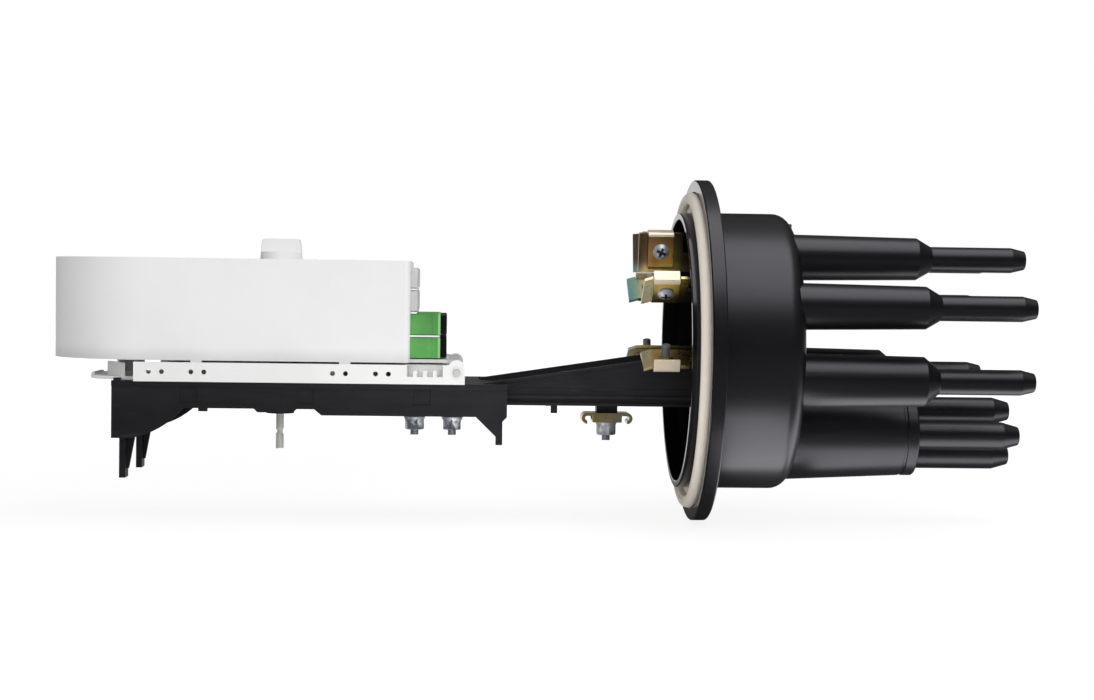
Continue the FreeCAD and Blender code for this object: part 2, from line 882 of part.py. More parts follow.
def under_plate():
    """Plate under the beam's boss with both ends curled down, and a channel under its middle."""
    t = under_plate_thickness
    top = under_boss_bottom
    flat = under_plate_length / 2 - under_curl_radius
    half_width = under_plate_width / 2
    curl_z = top - under_curl_radius
    pieces = [block(under_clamp_x - flat, under_clamp_x + flat, -half_width, half_width, top - t, top)]
    for side in (-1, 1):
        x = under_clamp_x + side * flat
        x_end = x + side * under_curl_radius
        ring = rod_y(x, -half_width, half_width, curl_z, under_curl_radius)
        ring = ring.cut(rod_y(x, -half_width, half_width, curl_z, under_curl_radius - t))
        keep = block(min(x, x_end), max(x, x_end), -half_width, half_width, curl_z - under_curl_radius, top)
        pieces.append(ring.common(keep))
    x0 = under_clamp_x - under_saddle_length / 2
    x1 = under_clamp_x + under_saddle_length / 2
    web_bottom = top - t - under_saddle_height
    hollow_half = half_width - under_saddle_thickness
    channel = block(x0, x1, -half_width, half_width, web_bottom, top - overlap)
    channel = channel.cut(block(x0 - overshoot, x1 + overshoot, -hollow_half, hollow_half,
                                web_bottom + under_saddle_thickness, top - t))
    hole = rod_z(under_clamp_x, 0, web_bottom - overshoot, top + overshoot, screw_hole_radius)
    return fuse(pieces + [channel]).cut(hole)


# Splice tray
def tray():
    t = tray_wall
    half = tray_half_width
    floor = block(tray_left, tray_right, -half, half, deck_top, tray_floor_top)
    tab_end = tray_left - tray_tab_length
    tab = block(tab_end, tray_left + overlap, -tray_tab_half_width, tray_tab_half_width,
                deck_top, tray_floor_top)
    upright = [edge for edge in edges_at_x(tab, tab_end) if abs(edge.Length - tray_floor) < pick_tolerance]
    tab = tab.makeFillet(tray_tab_corner, upright)
    lip_half = tray_tab_half_width - tray_tab_corner
    lip = block(tab_end, tab_end + t, -lip_half, lip_half, deck_top, tray_floor_top + tray_tab_lip)
    pieces = [floor, tab, lip]
    for side in (-1, 1):
        y0, y1 = wall_span(side, half, t)
        pieces.append(block(tray_left, tray_right, y0, y1, deck_top, tray_top))
        pieces.append(side_wall_end(side))
        pieces.append(hinge_ear(side))
    pieces.append(block(tray_right - t, tray_right, -half, half, deck_top, tray_top))
    for x in tray_guide_x:
        ring = rod_z(x, 0, deck_top, tray_floor_top + tray_guide_height, tray_guide_radius)
        ring = ring.cut(rod_z(x, 0, tray_floor_top, tray_top, tray_guide_radius - tray_guide_wall))
        pieces.append(ring)
    pieces.append(rod_z(retainer_x, 0, deck_top, tray_floor_top + tray_guide_height, sleeve_radius))
    comb_start, comb_end = entry_comb_span()
    for side in (-1, 1):
        y0, y1 = wall_span(side, tray_half_width - tray_wall - tray_baffle_gap, tray_wall)
        pieces.append(block(comb_start - tray_baffle_lap, comb_end, y0, y1, deck_top, tray_top))
    return fuse(pieces).cut(group(tray_cuts()))


def entry_comb_span():
    """Both ends of the row of slots in the side wall; an inner wall behind it turns the fibres."""
    start = tray_left + tray_slot_start
    return start, start + (tray_slot_count - 1) * tray_slot_pitch + tray_slot_width


def side_wall_end(side):
    """Slanted end wall on the tab; the gap beside it lets the fibres in."""
    t = tray_wall
    full_width = tray_half_width - t - tray_end_wall_y
    y = side * (tray_half_width - t - tray_entry_gap)
    x_start = tray_left - tray_end_wall_reach * tray_entry_gap / full_width
    x = tray_left - tray_end_wall_reach
    y_end = side * tray_end_wall_y
    outline = [
        Vec(x_start + t, y, deck_top),
        Vec(x_start, y, deck_top),
        Vec(x, y_end, deck_top),
        Vec(x, y_end - side * t, deck_top),
        Vec(x + t, y_end - side * t, deck_top),
    ]
    return closed_face(outline).extrude(Vec(0, 0, tray_height - tray_end_wall_drop))


def hinge_ear(side):
    radius = ear_length / 2
    y0, y1 = wall_span(side, tray_half_width, ear_thickness)
    top = deck_top + ear_height - radius
    ear = block(hinge_x - radius, hinge_x + radius, y0, y1, deck_top, top)
    return fuse([ear, rod_y(hinge_x, y0, y1, top, radius)])


def tray_cuts():
    outer = tray_half_width + overshoot
    cuts = [rod_y(hinge_x, -outer, outer, hinge_z, hinge_pin_radius + hinge_clearance)]
    wall_spans = [wall_span(side, outer, tray_wall + overshoot) for side in (-1, 1)]
    for offset in tray_hole_offsets:
        for step in (-0.5, 0.5):
            x = tray_left + offset + step * tray_hole_pitch
            z = deck_top + tray_hole_height
            cuts += [rod_y(x, y0, y1, z, tray_hole_radius) for y0, y1 in wall_spans]
    comb_start, comb_end = entry_comb_span()
    for index in range(tray_slot_count):
        x = comb_start + index * tray_slot_pitch
        cuts += [block(x, x + tray_slot_width, y0, y1, tray_top - tray_slot_depth, tray_top + overshoot)
                 for y0, y1 in wall_spans]
    cuts += [block(comb_start, comb_end, y0, y1, tray_top - tray_comb_drop, tray_top + overshoot)
             for y0, y1 in wall_spans]
    ring_inner = hinge_pin_radius + ear_ring_gap
    for side in (-1, 1):
        y0, y1 = wall_span(side, outer, ear_ring_depth + overshoot)
        ring = rod_y(hinge_x, y0, y1, hinge_z, ring_inner + ear_ring_width)
        cuts.append(ring.cut(rod_y(hinge_x, y0, y1, hinge_z, ring_inner)))
    near_bolt, end_bolt = bolt_x
    below = deck_top - overshoot
    cuts.append(rod_z(near_bolt, 0, below, tray_top, screw_hole_radius))
    cuts.append(rod_z(end_bolt, 0, below, tray_top + overshoot, screw_head_radius + bolt_head_clearance))
    cuts.append(rod_z(retainer_x, 0, below, tray_top, retainer_radius + sleeve_clearance))
    return cuts


def splice_comb(side):
    y = side * comb_y
    x0 = comb_x - comb_length / 2
    top = tray_floor_top + comb_base
    pieces = [block(x0, x0 + comb_length, y - comb_width / 2, y + comb_width / 2, tray_floor_top, top)]
    pitch = (comb_width - comb_fin_width) / (comb_fin_count - 1)
    for index in range(comb_fin_count):
        y0 = y - comb_width / 2 + index * pitch
        pieces.append(block(x0, x0 + comb_length, y0, y0 + comb_fin_width,
                            tray_floor_top, top + comb_fin_height))
    gap = block(comb_x - comb_gap_length / 2, comb_x + comb_gap_length / 2, y - comb_width, y + comb_width,
                top, top + comb_fin_height + overshoot)
    return fuse(pieces).cut(gap)


def hinge_pin():
    reach = tray_half_width + hinge_pin_overhang
    return rod_y(hinge_x, -reach, reach, hinge_z, hinge_pin_radius)


# Patch box
def box_plan(inset, z0, z1):
    """Plan of the box: a straight body with a half-round left end, drawn in by inset."""
    half = box_half_width - inset
    centre_x = box_left + box_half_width
    right = box_right - inset
    corner = max(box_corner_round - inset, box_corner_least)
    turn = corner * (1 - math.sqrt(0.5))
    a = Vec(centre_x, half, z0)
    b = Vec(centre_x, -half, z0)
    c = Vec(right - corner, -half, z0)
    d = Vec(right, -half + corner, z0)
    e = Vec(right, half - corner, z0)
    f = Vec(right - corner, half, z0)
    edges = [
        Part.Arc(a, Vec(centre_x - half, 0, z0), b).toShape(),
        Part.makeLine(b, c),
        Part.Arc(c, Vec(right - turn, -half + turn, z0), d).toShape(),
        Part.makeLine(d, e),
        Part.Arc(e, Vec(right - turn, half - turn, z0), f).toShape(),
        Part.makeLine(f, a),
    ]
    return Part.Face(Part.Wire(edges)).extrude(Vec(0, 0, z1 - z0))


def panel_places(first_row, rows):
    for row in range(first_row, first_row + rows):
        z = adapter_first_z + row * adapter_pitch_z
        for column in range(adapter_columns):
            yield row, column, (column - (adapter_columns - 1) / 2) * adapter_pitch_y, z


def centred(x0, x1, y, z, width, height):
    return block(x0, x1, y - width / 2, y + width / 2, z - height / 2, z + height / 2)


def row_shelf(row):
    """Thin shelf on the panel between a row and the next one up."""
    z = adapter_first_z + (row + 0.5) * adapter_pitch_z
    reach = adapter_reach if row + 1 < adapter_rows else blank_reach
    half = adapter_pitch_y * (adapter_columns - 1) / 2 + adapter_width / 2
    return block(box_right - overlap, box_right + reach - shelf_setback, -half, half,
                 z - shelf_thickness / 2, z + shelf_thickness / 2)


def patch_box():
    shell = box_plan(0, box_bottom, box_top)
    shell = shell.cut(box_plan(box_wall, box_bottom + box_floor, lid_bottom))
    shell = shell.cut(box_plan(box_wall - lid_ledge, lid_bottom, box_top + overshoot))
    tongue_end = box_right + tongue_length
    pieces = [shell] + [row_shelf(row) for row in range(adapter_rows + blank_rows - 1)]
    pieces.append(block(box_right - overlap, tongue_end, -tongue_half_width, tongue_half_width,
                        box_bottom, box_bottom + tongue_thickness))
    for side in (-1, 1):
        pieces.append(knuckle(side, tongue_end))
        for offset in box_foot_offsets:
            x = box_left + offset
            y0, y1 = wall_span(side, tray_half_width, tray_wall)
            pieces.append(block(x - box_foot_length / 2, x + box_foot_length / 2, y0, y1,
                                tray_top, box_bottom + overlap))
    pieces.append(rod_z(retainer_x, 0, box_bottom, lid_bottom, sleeve_radius))
    cuts = [centred(panel_inner - overshoot, box_right + overshoot, y, z,
                    adapter_width + 2 * adapter_clearance, adapter_height + 2 * adapter_clearance)
            for row, column, y, z in panel_places(0, adapter_rows + blank_rows)]
    cuts.append(rod_z(retainer_x, 0, box_bottom - overshoot, box_top, retainer_radius + sleeve_clearance))
    cuts.append(rod_y(hinge_x, -tray_half_width, tray_half_width, hinge_z,
                      hinge_pin_radius + hinge_clearance))
    return fuse(pieces).cut(group(cuts))


def knuckle(side, tongue_end):
    """Arm from the tongue's end down to a ring round the hinge pin."""
    y0 = side * knuckle_y - knuckle_width / 2
    y1 = y0 + knuckle_width
    radius = hinge_pin_radius + hinge_clearance + knuckle_wall
    ring = rod_y(hinge_x, y0, y1, hinge_z, radius)
    arm = side_plate([
        (tongue_end - overlap, box_bottom + tongue_thickness),
        (hinge_x + hinge_pin_radius, box_bottom + tongue_thickness - overlap),
        (hinge_x + hinge_pin_radius, hinge_z),
        (hinge_x - hinge_pin_radius, hinge_z),
        (hinge_x - radius, box_bottom),
        (tongue_end - overlap, box_bottom),
    ], y0, y1)
    return fuse([ring, arm])


def patch_lid():
    lid = box_plan(box_wall - lid_ledge + lid_clearance, lid_bottom, box_top)
    return lid.cut(rod_z(retainer_x, 0, lid_bottom - overshoot, box_top + overshoot,
                         retainer_radius + sleeve_clearance))


def adapter(y, z):
    body = centred(panel_inner - adapter_depth, adapter_end, y, z, adapter_width, adapter_height)
    socket = centred(adapter_end - socket_depth, adapter_end + overshoot, y, z,
                     socket_width, socket_height)
    top = z + adapter_height / 2
    key = block(box_right + overshoot, adapter_end + overshoot, y - adapter_key_width / 2,
                y + adapter_key_width / 2, top - adapter_key_depth, top + overshoot)
    return body.cut(group([socket, key]))


def dust_cap(y, z):
    head = centred(adapter_end, adapter_end + cap_length, y, z, cap_width, cap_height)
    head = head.makeChamfer(cap_bevel, edges_at_x(head, adapter_end + cap_length))
    plug = centred(adapter_end - cap_plug_length, adapter_end + overlap, y, z,
                   socket_width - 2 * cap_clearance, socket_height - 2 * cap_clearance)
    return fuse([head, plug])


def blank_plug(y, z):
    head = centred(box_right, box_right + blank_reach, y, z, blank_width, blank_height)
    plug = centred(box_right - blank_plug_length, box_right + overlap, y, z, blank_width, blank_height)
    hollow = centred(box_right - blank_plug_length - overshoot, box_right + blank_reach - blank_wall, y, z,
                     blank_width - 2 * blank_wall, blank_height - 2 * blank_wall)
    return fuse([head, plug]).cut(hollow)


def retaining_screw():
    seat = box_top + knob_seat_clearance
    top = box_top + knob_height
    knob = Part.makeCone(knob_radius, knob_top_radius, top - seat, Vec(retainer_x, 0, seat))
    rim = [edge for edge in knob.Edges if edge.Closed and abs(edge.CenterOfMass.z - top) < pick_tolerance]
    knob = knob.makeFillet(knob_round, rim)
    cuts = []
    for side in (-1, 1):
        y0, y1 = wall_span(side, knob_radius + overshoot, knob_radius + overshoot - knob_rib_width / 2)
        cuts.append(block(retainer_x - knob_radius, retainer_x + knob_radius, y0, y1,
                          seat + knob_base_height, top + overshoot))
    knob = knob.cut(group(cuts))
    shaft = rod_z(retainer_x, 0, retainer_end, seat + overlap, retainer_radius)
    waist_bottom = retainer_waist_top - retainer_waist_length
    ring = rod_z(retainer_x, 0, waist_bottom, retainer_waist_top, retainer_radius + overshoot)
    ring = ring.cut(rod_z(retainer_x, 0, waist_bottom, retainer_waist_top, retainer_waist_radius))
    return fuse([knob, shaft.cut(ring)])


def clamp_place(inset, angle, roll_angle):
    y, z = polar(inner_radius - inset, angle)
    return y, z, roll_angle


clamps = (
    clamp_place(upper_clamp_inset, upper_clamp_angle, upper_clamp_roll_angle),
    clamp_place(side_clamp_inset, side_clamp_angle, side_clamp_roll_angle),
    clamp_place(lower_clamp_inset, lower_clamp_angle, lower_clamp_roll_angle),
)
clamp_names = ("upper", "side", "lower")
side_names = {-1: "near", 1: "far"}


def write_all():
    write("base_body", base_body())
    write("seal_ring", seal_ring())
    write("chassis", chassis())
    root_seat = inner_floor - root_plate_thickness
    write("chassis_root_screws", group([
        facing_minus_x(pan_screw(root_plate_thickness + root_screw_depth), root_seat, y, z)
        for y, z in root_screw_places()]))
    near_bolt, end_bolt = bolt_x
    write("tray_bolts", group([
        bolt_down(near_bolt, tray_floor_top, bolt_boss_bottom),
        bolt_down(end_bolt, deck_top, bolt_boss_bottom),
    ]))
    write("tray_bolt_nuts", group([flange_nut().translated(Vec(x, 0, bolt_boss_bottom)) for x in bolt_x]))
    write("splice_tray", tray())
    for side, name in side_names.items():
        write("splice_comb_" + name, splice_comb(side))
    write("hinge_pin", hinge_pin())
    write("patch_box", patch_box())
    write("patch_lid", patch_lid())
    write("retaining_screw", retaining_screw())
    for row, column, y, z in panel_places(0, adapter_rows):
        place = str(row + 1) + "_" + str(column + 1)
        write("adapter_" + place, adapter(y, z))
        write("dust_cap_" + place, dust_cap(y, z))
    for row in range(adapter_rows, adapter_rows + blank_rows):
        plugs = [blank_plug(y, z) for _, _, y, z in panel_places(row, 1)]
        write("blank_plugs_row_" + str(row + 1), group(plugs))
    screws = []
    foot_screws = []
    for clamp, clamp_name in zip(clamps, clamp_names):
        for side, side_name in side_names.items():
            place = clamp_name + "_" + side_name
            write("clamp_strip_" + place, clamp_strip(clamp, side))
            write("clamp_saddle_" + place, clamp_saddle(clamp, side))
            screws.append(clamp_screw(clamp, side))
            foot_screws.append(strip_foot_screw_placed(clamp, side))
    write("clamp_screws", group(screws))
    write("strip_foot_screws", group(foot_screws))
    write("under_clamp_plate", under_plate())
    under_seat = under_boss_bottom - under_plate_thickness - under_saddle_height
    write("under_clamp_bolt", bolt_down(under_clamp_x, trough_floor, under_seat))
    write("under_clamp_nut", flange_nut().translated(Vec(under_clamp_x, 0, under_seat)))


os.makedirs("parts", exist_ok=True)
write_all()
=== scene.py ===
import bpy
import bmesh
import json
import math
from mathutils import Matrix, Vector


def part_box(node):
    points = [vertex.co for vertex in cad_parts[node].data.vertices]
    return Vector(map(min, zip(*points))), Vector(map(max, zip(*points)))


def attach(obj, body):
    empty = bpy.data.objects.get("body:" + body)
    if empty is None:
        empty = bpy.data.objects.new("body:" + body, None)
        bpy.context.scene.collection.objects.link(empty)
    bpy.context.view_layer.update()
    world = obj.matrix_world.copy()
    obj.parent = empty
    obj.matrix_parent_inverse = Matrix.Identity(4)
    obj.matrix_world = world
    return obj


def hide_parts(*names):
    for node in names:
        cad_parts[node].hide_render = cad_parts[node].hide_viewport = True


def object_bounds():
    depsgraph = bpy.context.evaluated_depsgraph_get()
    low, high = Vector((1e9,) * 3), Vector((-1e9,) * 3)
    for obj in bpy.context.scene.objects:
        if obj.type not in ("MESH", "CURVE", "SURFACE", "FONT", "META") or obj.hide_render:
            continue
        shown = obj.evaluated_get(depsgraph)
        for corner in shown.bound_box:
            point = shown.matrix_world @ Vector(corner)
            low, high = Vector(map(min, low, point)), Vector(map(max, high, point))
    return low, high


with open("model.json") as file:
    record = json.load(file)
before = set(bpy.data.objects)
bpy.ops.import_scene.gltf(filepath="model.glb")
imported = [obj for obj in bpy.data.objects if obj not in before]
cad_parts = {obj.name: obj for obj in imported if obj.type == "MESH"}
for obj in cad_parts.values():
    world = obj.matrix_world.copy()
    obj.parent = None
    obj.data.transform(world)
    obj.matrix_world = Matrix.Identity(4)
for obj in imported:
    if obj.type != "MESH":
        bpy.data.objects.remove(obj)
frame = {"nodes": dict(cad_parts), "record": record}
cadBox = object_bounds()
mm = 0.001
overlap = 1.0  # how far joined forms and cutters run into each other, in mm
threadAngle = 60  # edges on threads and on the seal stay smooth up to this angle
mainBody = "closure"
mounts = {mount["name"]: Vector(mount["pos_m"]) / mm for mount in frame["record"]["mounts"]}
print("frame loaded:", len(frame["nodes"]), "nodes")


class Wire:  # one socket of a node tree, so that node maths reads as plain maths
    def __init__(self, tree, socket=None):
        self.tree = tree
        self.socket = socket

    def node(self, kind, sockets=None, out=0, **settings):  # any node: settings first, then sockets
        made = self.tree.nodes.new(kind)
        for key, value in settings.items():
            if key == "stops":
                stops = made.color_ramp.elements
                while len(stops) < len(value):
                    stops.new(1.0)
                for stop, (place, colour) in zip(stops, value):
                    stop.position = place
                    stop.color = (*colour, 1)
            else:
                setattr(made, key, value)
        for key, value in (sockets or {}).items():
            if isinstance(value, Wire):
                self.tree.links.new(value.socket, made.inputs[key])
            else:
                made.inputs[key].default_value = value
        return Wire(self.tree, made.outputs[out])

    def other(self, name):  # another output of the same node
        return Wire(self.tree, self.socket.node.outputs[name])

    def into(self, node, name):
        self.tree.links.new(self.socket, node.inputs[name])

    def maths(self, operation, first, second):
        return self.node("ShaderNodeMath", {0: first, 1: second}, operation=operation)

    def __add__(self, value):
        return self.maths("ADD", self, value)

    def __sub__(self, value):
        return self.maths("SUBTRACT", self, value)

    def __rsub__(self, value):
        return self.maths("SUBTRACT", value, self)

    def __mul__(self, value):
        return self.maths("MULTIPLY", self, value)

    __radd__, __rmul__ = __add__, __mul__

    def axes(self):  # the three coordinates of a place
        way = self.node("ShaderNodeSeparateXYZ", {0: self})
        return way, way.other("Y"), way.other("Z")

    def noise(self, scale, detail=3.0, stretch=None, rough=0.5, warp=0.0):  # noise over a place
        place = self.node("ShaderNodeMapping", {"Vector": self, "Scale": stretch}) if stretch else self
        return self.node("ShaderNodeTexNoise", {"Vector": place, "Scale": scale, "Detail": detail,
                                                "Roughness": rough, "Distortion": warp})

    def spread(self, low, high):  # low..high becomes 0..1, smooth at both ends
        return self.node("ShaderNodeMapRange", {"Value": self, "From Min": low, "From Max": high},
                         interpolation_type="SMOOTHSTEP")

    def blend(self, *paints):  # from a first colour to a second by this share
        first, second = [paint if isinstance(paint, Wire) else (*paint, 1) for paint in paints]
        return self.node("ShaderNodeMix", {0: self, 6: first, 7: second}, out=2, data_type="RGBA")

    def bump(self, depth, strength):  # depth in mm
        return self.node("ShaderNodeBump", {"Height": self, "Distance": depth * mm, "Strength": strength})


# Materials

def startMaterial(name):
    material = bpy.data.materials.new(name)
    material.use_nodes = True
    place = Wire(material.node_tree).node("ShaderNodeTexCoord", out="Object")
    return material, material.node_tree.nodes["Principled BSDF"], place


def satinFinish(shader, place, look, patches, detail):  # roughness that varies in patches, and fine grain
    (look["rough"] + look["roughSpread"] * patches).into(shader, "Roughness")
    place.noise(look["grain"], detail).bump(look["grainDepth"], look["grainStrength"]).into(shader, "Normal")


mouldedBlackLook = {"deep": (0.0028, 0.0027, 0.0034), "worn": (0.010, 0.0098, 0.0115), "rough": 0.29,
                    "roughSpread": 0.14, "scuffRough": 0.12, "grain": 1500.0, "grainDepth": 0.010, "grainStrength": 0.7,
                    "streak": (14.0, 420.0, 420.0), "cloud": 38.0, "scuff": (60.0, 700.0, 260.0),
                    "scuffShare": (0.60, 0.78), "streakWear": 0.25, "scuffWear": 0.35, "cloudWear": 0.15,
                    "scuffed": 0.0, "scuffedFrom": (-0.031, -0.019), "scuffedBlur": 0.006,
                    "smooth": 0.0, "smoothFrom": (0.0004, 0.0010), "shine": 0.72, "shineTint": (0.92, 0.91, 1.0)}


def mouldedBlack(name, **changes):  # satin black moulding with drawn streaks, scuffs and fine grain; where asked, painted light makes it lighter towards the top
    look = {**mouldedBlackLook, **changes}
    material, shader, place = startMaterial(name)
    along, _, up = place.axes()
    grain = place.noise(look["grain"], 2.0)
    streaks = place.noise(1.0, 4.0, look["streak"], 0.6)
    clouds = place.noise(look["cloud"], 4.0)
    scuffs = place.noise(1.0, 6.0, look["scuff"], 0.65, 0.4).spread(*look["scuffShare"])
    # painted light: lighter towards the top, where the overhead light falls, carried by the streaks and grain
    litTop = look["scuffed"] * (up + look["scuffedBlur"] * (clouds - 0.5)).spread(*look["scuffedFrom"])
    wearAndLight = look["streakWear"] * streaks + look["scuffWear"] * scuffs + look["cloudWear"] * clouds
    wearAndLight = wearAndLight + litTop * (0.5 * streaks + 0.5 * grain)
    wearAndLight.blend(look["deep"], look["worn"]).into(shader, "Base Color")
    polished = look["smooth"] * (1 - along.spread(*look["smoothFrom"]))
    satin = look["rough"] + look["roughSpread"] * (0.6 * streaks + 0.4 * clouds) + look["scuffRough"] * scuffs
    (satin * (1 - polished)).into(shader, "Roughness")
    (grain + 0.7 * streaks).bump(look["grainDepth"], look["grainStrength"]).into(shader, "Normal")
    shader.inputs["Specular IOR Level"].default_value = look["shine"]
    shader.inputs["Specular Tint"].default_value = (*look["shineTint"], 1)
    return material


whiteLook = {"bright": (0.86, 0.86, 0.862), "dull": (0.82, 0.82, 0.822), "cloud": 22.0, "cloudShare": (0.30, 0.72),
             "rough": 0.42, "roughSpread": 0.14, "grain": 2200.0, "grainDepth": 0.005, "grainStrength": 0.5,
             "dust": (0.50, 0.50, 0.51), "dusty": 0.0, "lowShadeFrom": (-0.0062, 0.0012), "lowShadeBlur": 0.004}


def mouldedWhite(name, **changes):  # satin white moulding, faintly mottled, with painted shade low down, greyer towards the bottom, where it is asked for
    look = {**whiteLook, **changes}
    material, shader, place = startMaterial(name)
    up = place.axes()[2]
    clouds = place.noise(look["cloud"], 5.0, None, 0.55)
    white = clouds.spread(*look["cloudShare"]).blend(look["dull"], look["bright"])
    # painted shade: greyer towards the bottom edge, where shade falls under the part
    dusty = look["dusty"] * (1 - (up + look["lowShadeBlur"] * (clouds - 0.5)).spread(*look["lowShadeFrom"]))
    dusty.blend(white, look["dust"]).into(shader, "Base Color")
    satinFinish(shader, place, look, clouds, 2.0)
    return material


greenLook = {"deep": (0.062, 0.275, 0.055), "fresh": (0.110, 0.450, 0.090), "cloud": 60.0, "cloudShare": (0.30, 0.70),
             "rim": (0.26, 0.58, 0.22), "rimHighlightFrom": (-0.1186, -0.1181), "rough": 0.42, "roughSpread": 0.12,
             "roughScale": 260.0, "grain": 2600.0, "grainDepth": 0.006, "grainStrength": 0.5}


def mouldedGreen(name, look):  # satin green moulding, a little lighter in patches, with a painted highlight at its open end
    material, shader, place = startMaterial(name)
    along = place.axes()[0]
    green = place.noise(look["cloud"], 4.0).spread(*look["cloudShare"]).blend(look["deep"], look["fresh"])
    # painted highlight: a lighter green band at the open end, where its edge catches the light
    along.spread(*look["rimHighlightFrom"]).blend(green, look["rim"]).into(shader, "Base Color")
    satinFinish(shader, place, look, place.noise(look["roughScale"]), 2.0)
    return material


sealLook = {"pale": (0.94, 0.86, 0.76), "warm": (0.86, 0.74, 0.62), "cloud": 45.0, "cloudWarm": 0.45, "speck": 520.0,
            "speckShare": (0.62, 0.74), "speckWarm": 0.35, "rough": 0.46, "roughSpread": 0.15, "grain": 900.0,
            "grainDepth": 0.01, "grainStrength": 0.6, "softness": 0.12, "softReach": (2.0, 1.4, 1.0)}


def creamSilicone(name, look):  # seal ring: smooth cream silicone with faint clouds and specks of dust
    material, shader, place = startMaterial(name)
    clouds = place.noise(look["cloud"], 5.0)
    specks = place.noise(look["speck"], 3.0).spread(*look["speckShare"])
    warmth = look["cloudWarm"] * clouds + look["speckWarm"] * specks
    warmth.blend(look["pale"], look["warm"]).into(shader, "Base Color")
    satinFinish(shader, place, look, clouds, 3.0)
    shader.inputs["Subsurface Weight"].default_value = look["softness"]
    shader.inputs["Subsurface Radius"].default_value = [reach * mm for reach in look["softReach"]]
    return material


zincLook = {"tints": [(0.18, (0.30, 0.58, 0.58)), (0.32, (0.50, 0.64, 0.44)), (0.42, (0.92, 0.74, 0.46)),
                      (0.50, (0.86, 0.68, 0.30)), (0.62, (0.74, 0.66, 0.26)), (0.72, (0.58, 0.46, 0.38)),
                      (0.86, (0.60, 0.44, 0.54))],
            "drift": 70.0, "driftTint": 0.4, "fine": 500.0, "fineTint": 0.03, "middle": -0.0165, "length": 0.036,
            "clampsFrom": (-0.042, -0.034), "nearFrom": (-0.004, 0.004), "lip": (-0.0226, -0.0218),
            "lipFrom": (0.010, 0.016), "lipHighlight": (1.0, 0.78, 0.46), "plateTop": (-0.018, -0.014),
            "copper": (0.40, 0.22, 0.11), "mouthShade": (0.10, 0.10, 0.06), "behind": (-0.0108, -0.0100),
            "highFrom": (0.036, 0.043), "highBlur": 0.008, "highShare": 0.85, "pale": (1.0, 0.88, 0.72),
            "rough": 0.22, "fineRough": 0.06, "driftRough": 0.08, "brushed": (900.0, 160.0, 900.0),
            "brushDepth": 0.0015, "brushStrength": 0.4, "highlightMatte": 0.6}


def yellowZinc(name, look):  # passivated zinc: bronze top clamps, teal lips below them, gold elsewhere; painted highlights on the near lips and the saddles' flanges, painted shade on the strips inside the drum's mouth
    material, shader, place = startMaterial(name)
    along, across, up = place.axes()
    drift = place.noise(look["drift"], 1.0, None, 0.4, 0.3)
    fine = place.noise(look["fine"], 2.0)
    clamps = along.spread(*look["clampsFrom"])
    near = (0 - across).spread(*look["nearFrom"])
    aloft = up.spread(*look["lipFrom"])
    lip = clamps * (1 - along.spread(*look["lip"])) * (0.4 * up.spread(*look["plateTop"]) + 0.6 * aloft)
    share = (along - look["middle"]) * (1 / look["length"]) * clamps * (1.3 - 0.4 * near) * (0.25 + 0.75 * aloft)
    share = 0.5 + share + look["driftTint"] * (drift - 0.5) + look["fineTint"] * (fine - 0.5)
    tint = place.node("ShaderNodeValToRGB", {0: share}, stops=look["tints"])
    high = (up + look["highBlur"] * (drift - 0.5)).spread(*look["highFrom"]) * look["highShare"]
    # painted shade: the strips right of the upper saddles turn dark olive, where they lie in the shade of the drum's
    # mouth
    bronzeAndShade = along.spread(*look["behind"]).blend(look["copper"], look["mouthShade"])
    # painted highlight: the near lips turn pale, as if catching the light from the front
    nearLipHighlight = lip * near * (1 - high) * aloft
    goldWithPaintedLight = (nearLipHighlight * (0.5 + 0.5 * drift)).blend(high.blend(tint, bronzeAndShade), look["lipHighlight"])
    # painted highlight: the saddles' flanges turn pale, as if catching the light from above and below
    flange = place.node("ShaderNodeAttribute", out="Fac", attribute_name="flange")
    (flange * (0.55 + 0.45 * drift)).blend(goldWithPaintedLight, look["pale"]).into(shader, "Base Color")
    (look["rough"] + look["fineRough"] * fine + look["driftRough"] * drift).into(shader, "Roughness")
    place.noise(1.0, 2.0, look["brushed"]).bump(look["brushDepth"], look["brushStrength"]).into(shader, "Normal")
    # the lips and flanges are less metallic, so that their painted pale colours take diffuse light
    (1 - look["highlightMatte"] * (flange + lip * (1 - high))).into(shader, "Metallic")
    return material


steelLook = {"light": (0.88, 0.89, 0.92), "blue": (0.56, 0.62, 0.72), "drift": 240.0, "driftShare": (0.35, 0.70),
             "recess": (0.10, 0.12, 0.17), "rough": 0.38, "roughSpread": 0.16, "roughScale": 900.0, "grain": 1600.0,
             "grainDepth": 0.004, "grainStrength": 0.5, "metal": 0.60, "metalSpread": 0.25}


def brightZinc(name, **changes):  # plain zinc on screws and nuts, with painted shade in the recess of a head
    look = {**steelLook, **changes}
    material, shader, place = startMaterial(name)
    drift = place.noise(look["drift"], 3.0)
    bright = drift.spread(*look["driftShare"]).blend(look["light"], look["blue"])
    # painted shade: the cross recess is coloured dark blue-grey, where shade falls inside it
    recess = place.node("ShaderNodeAttribute", out="Fac", attribute_name="recess")
    recess.blend(bright, look["recess"]).into(shader, "Base Color")
    satinFinish(shader, place, look, place.noise(look["roughScale"]), 3.0)
    # half metallic, so that the pale colour takes diffuse light: partly the plating's own dull finish, partly a painted
    # stand-in for the bright reflections on the heads
    (look["metal"] + look["metalSpread"] * drift).into(shader, "Metallic")
    return material


baseBlack = mouldedBlack("baseBlack", smooth=0.6)
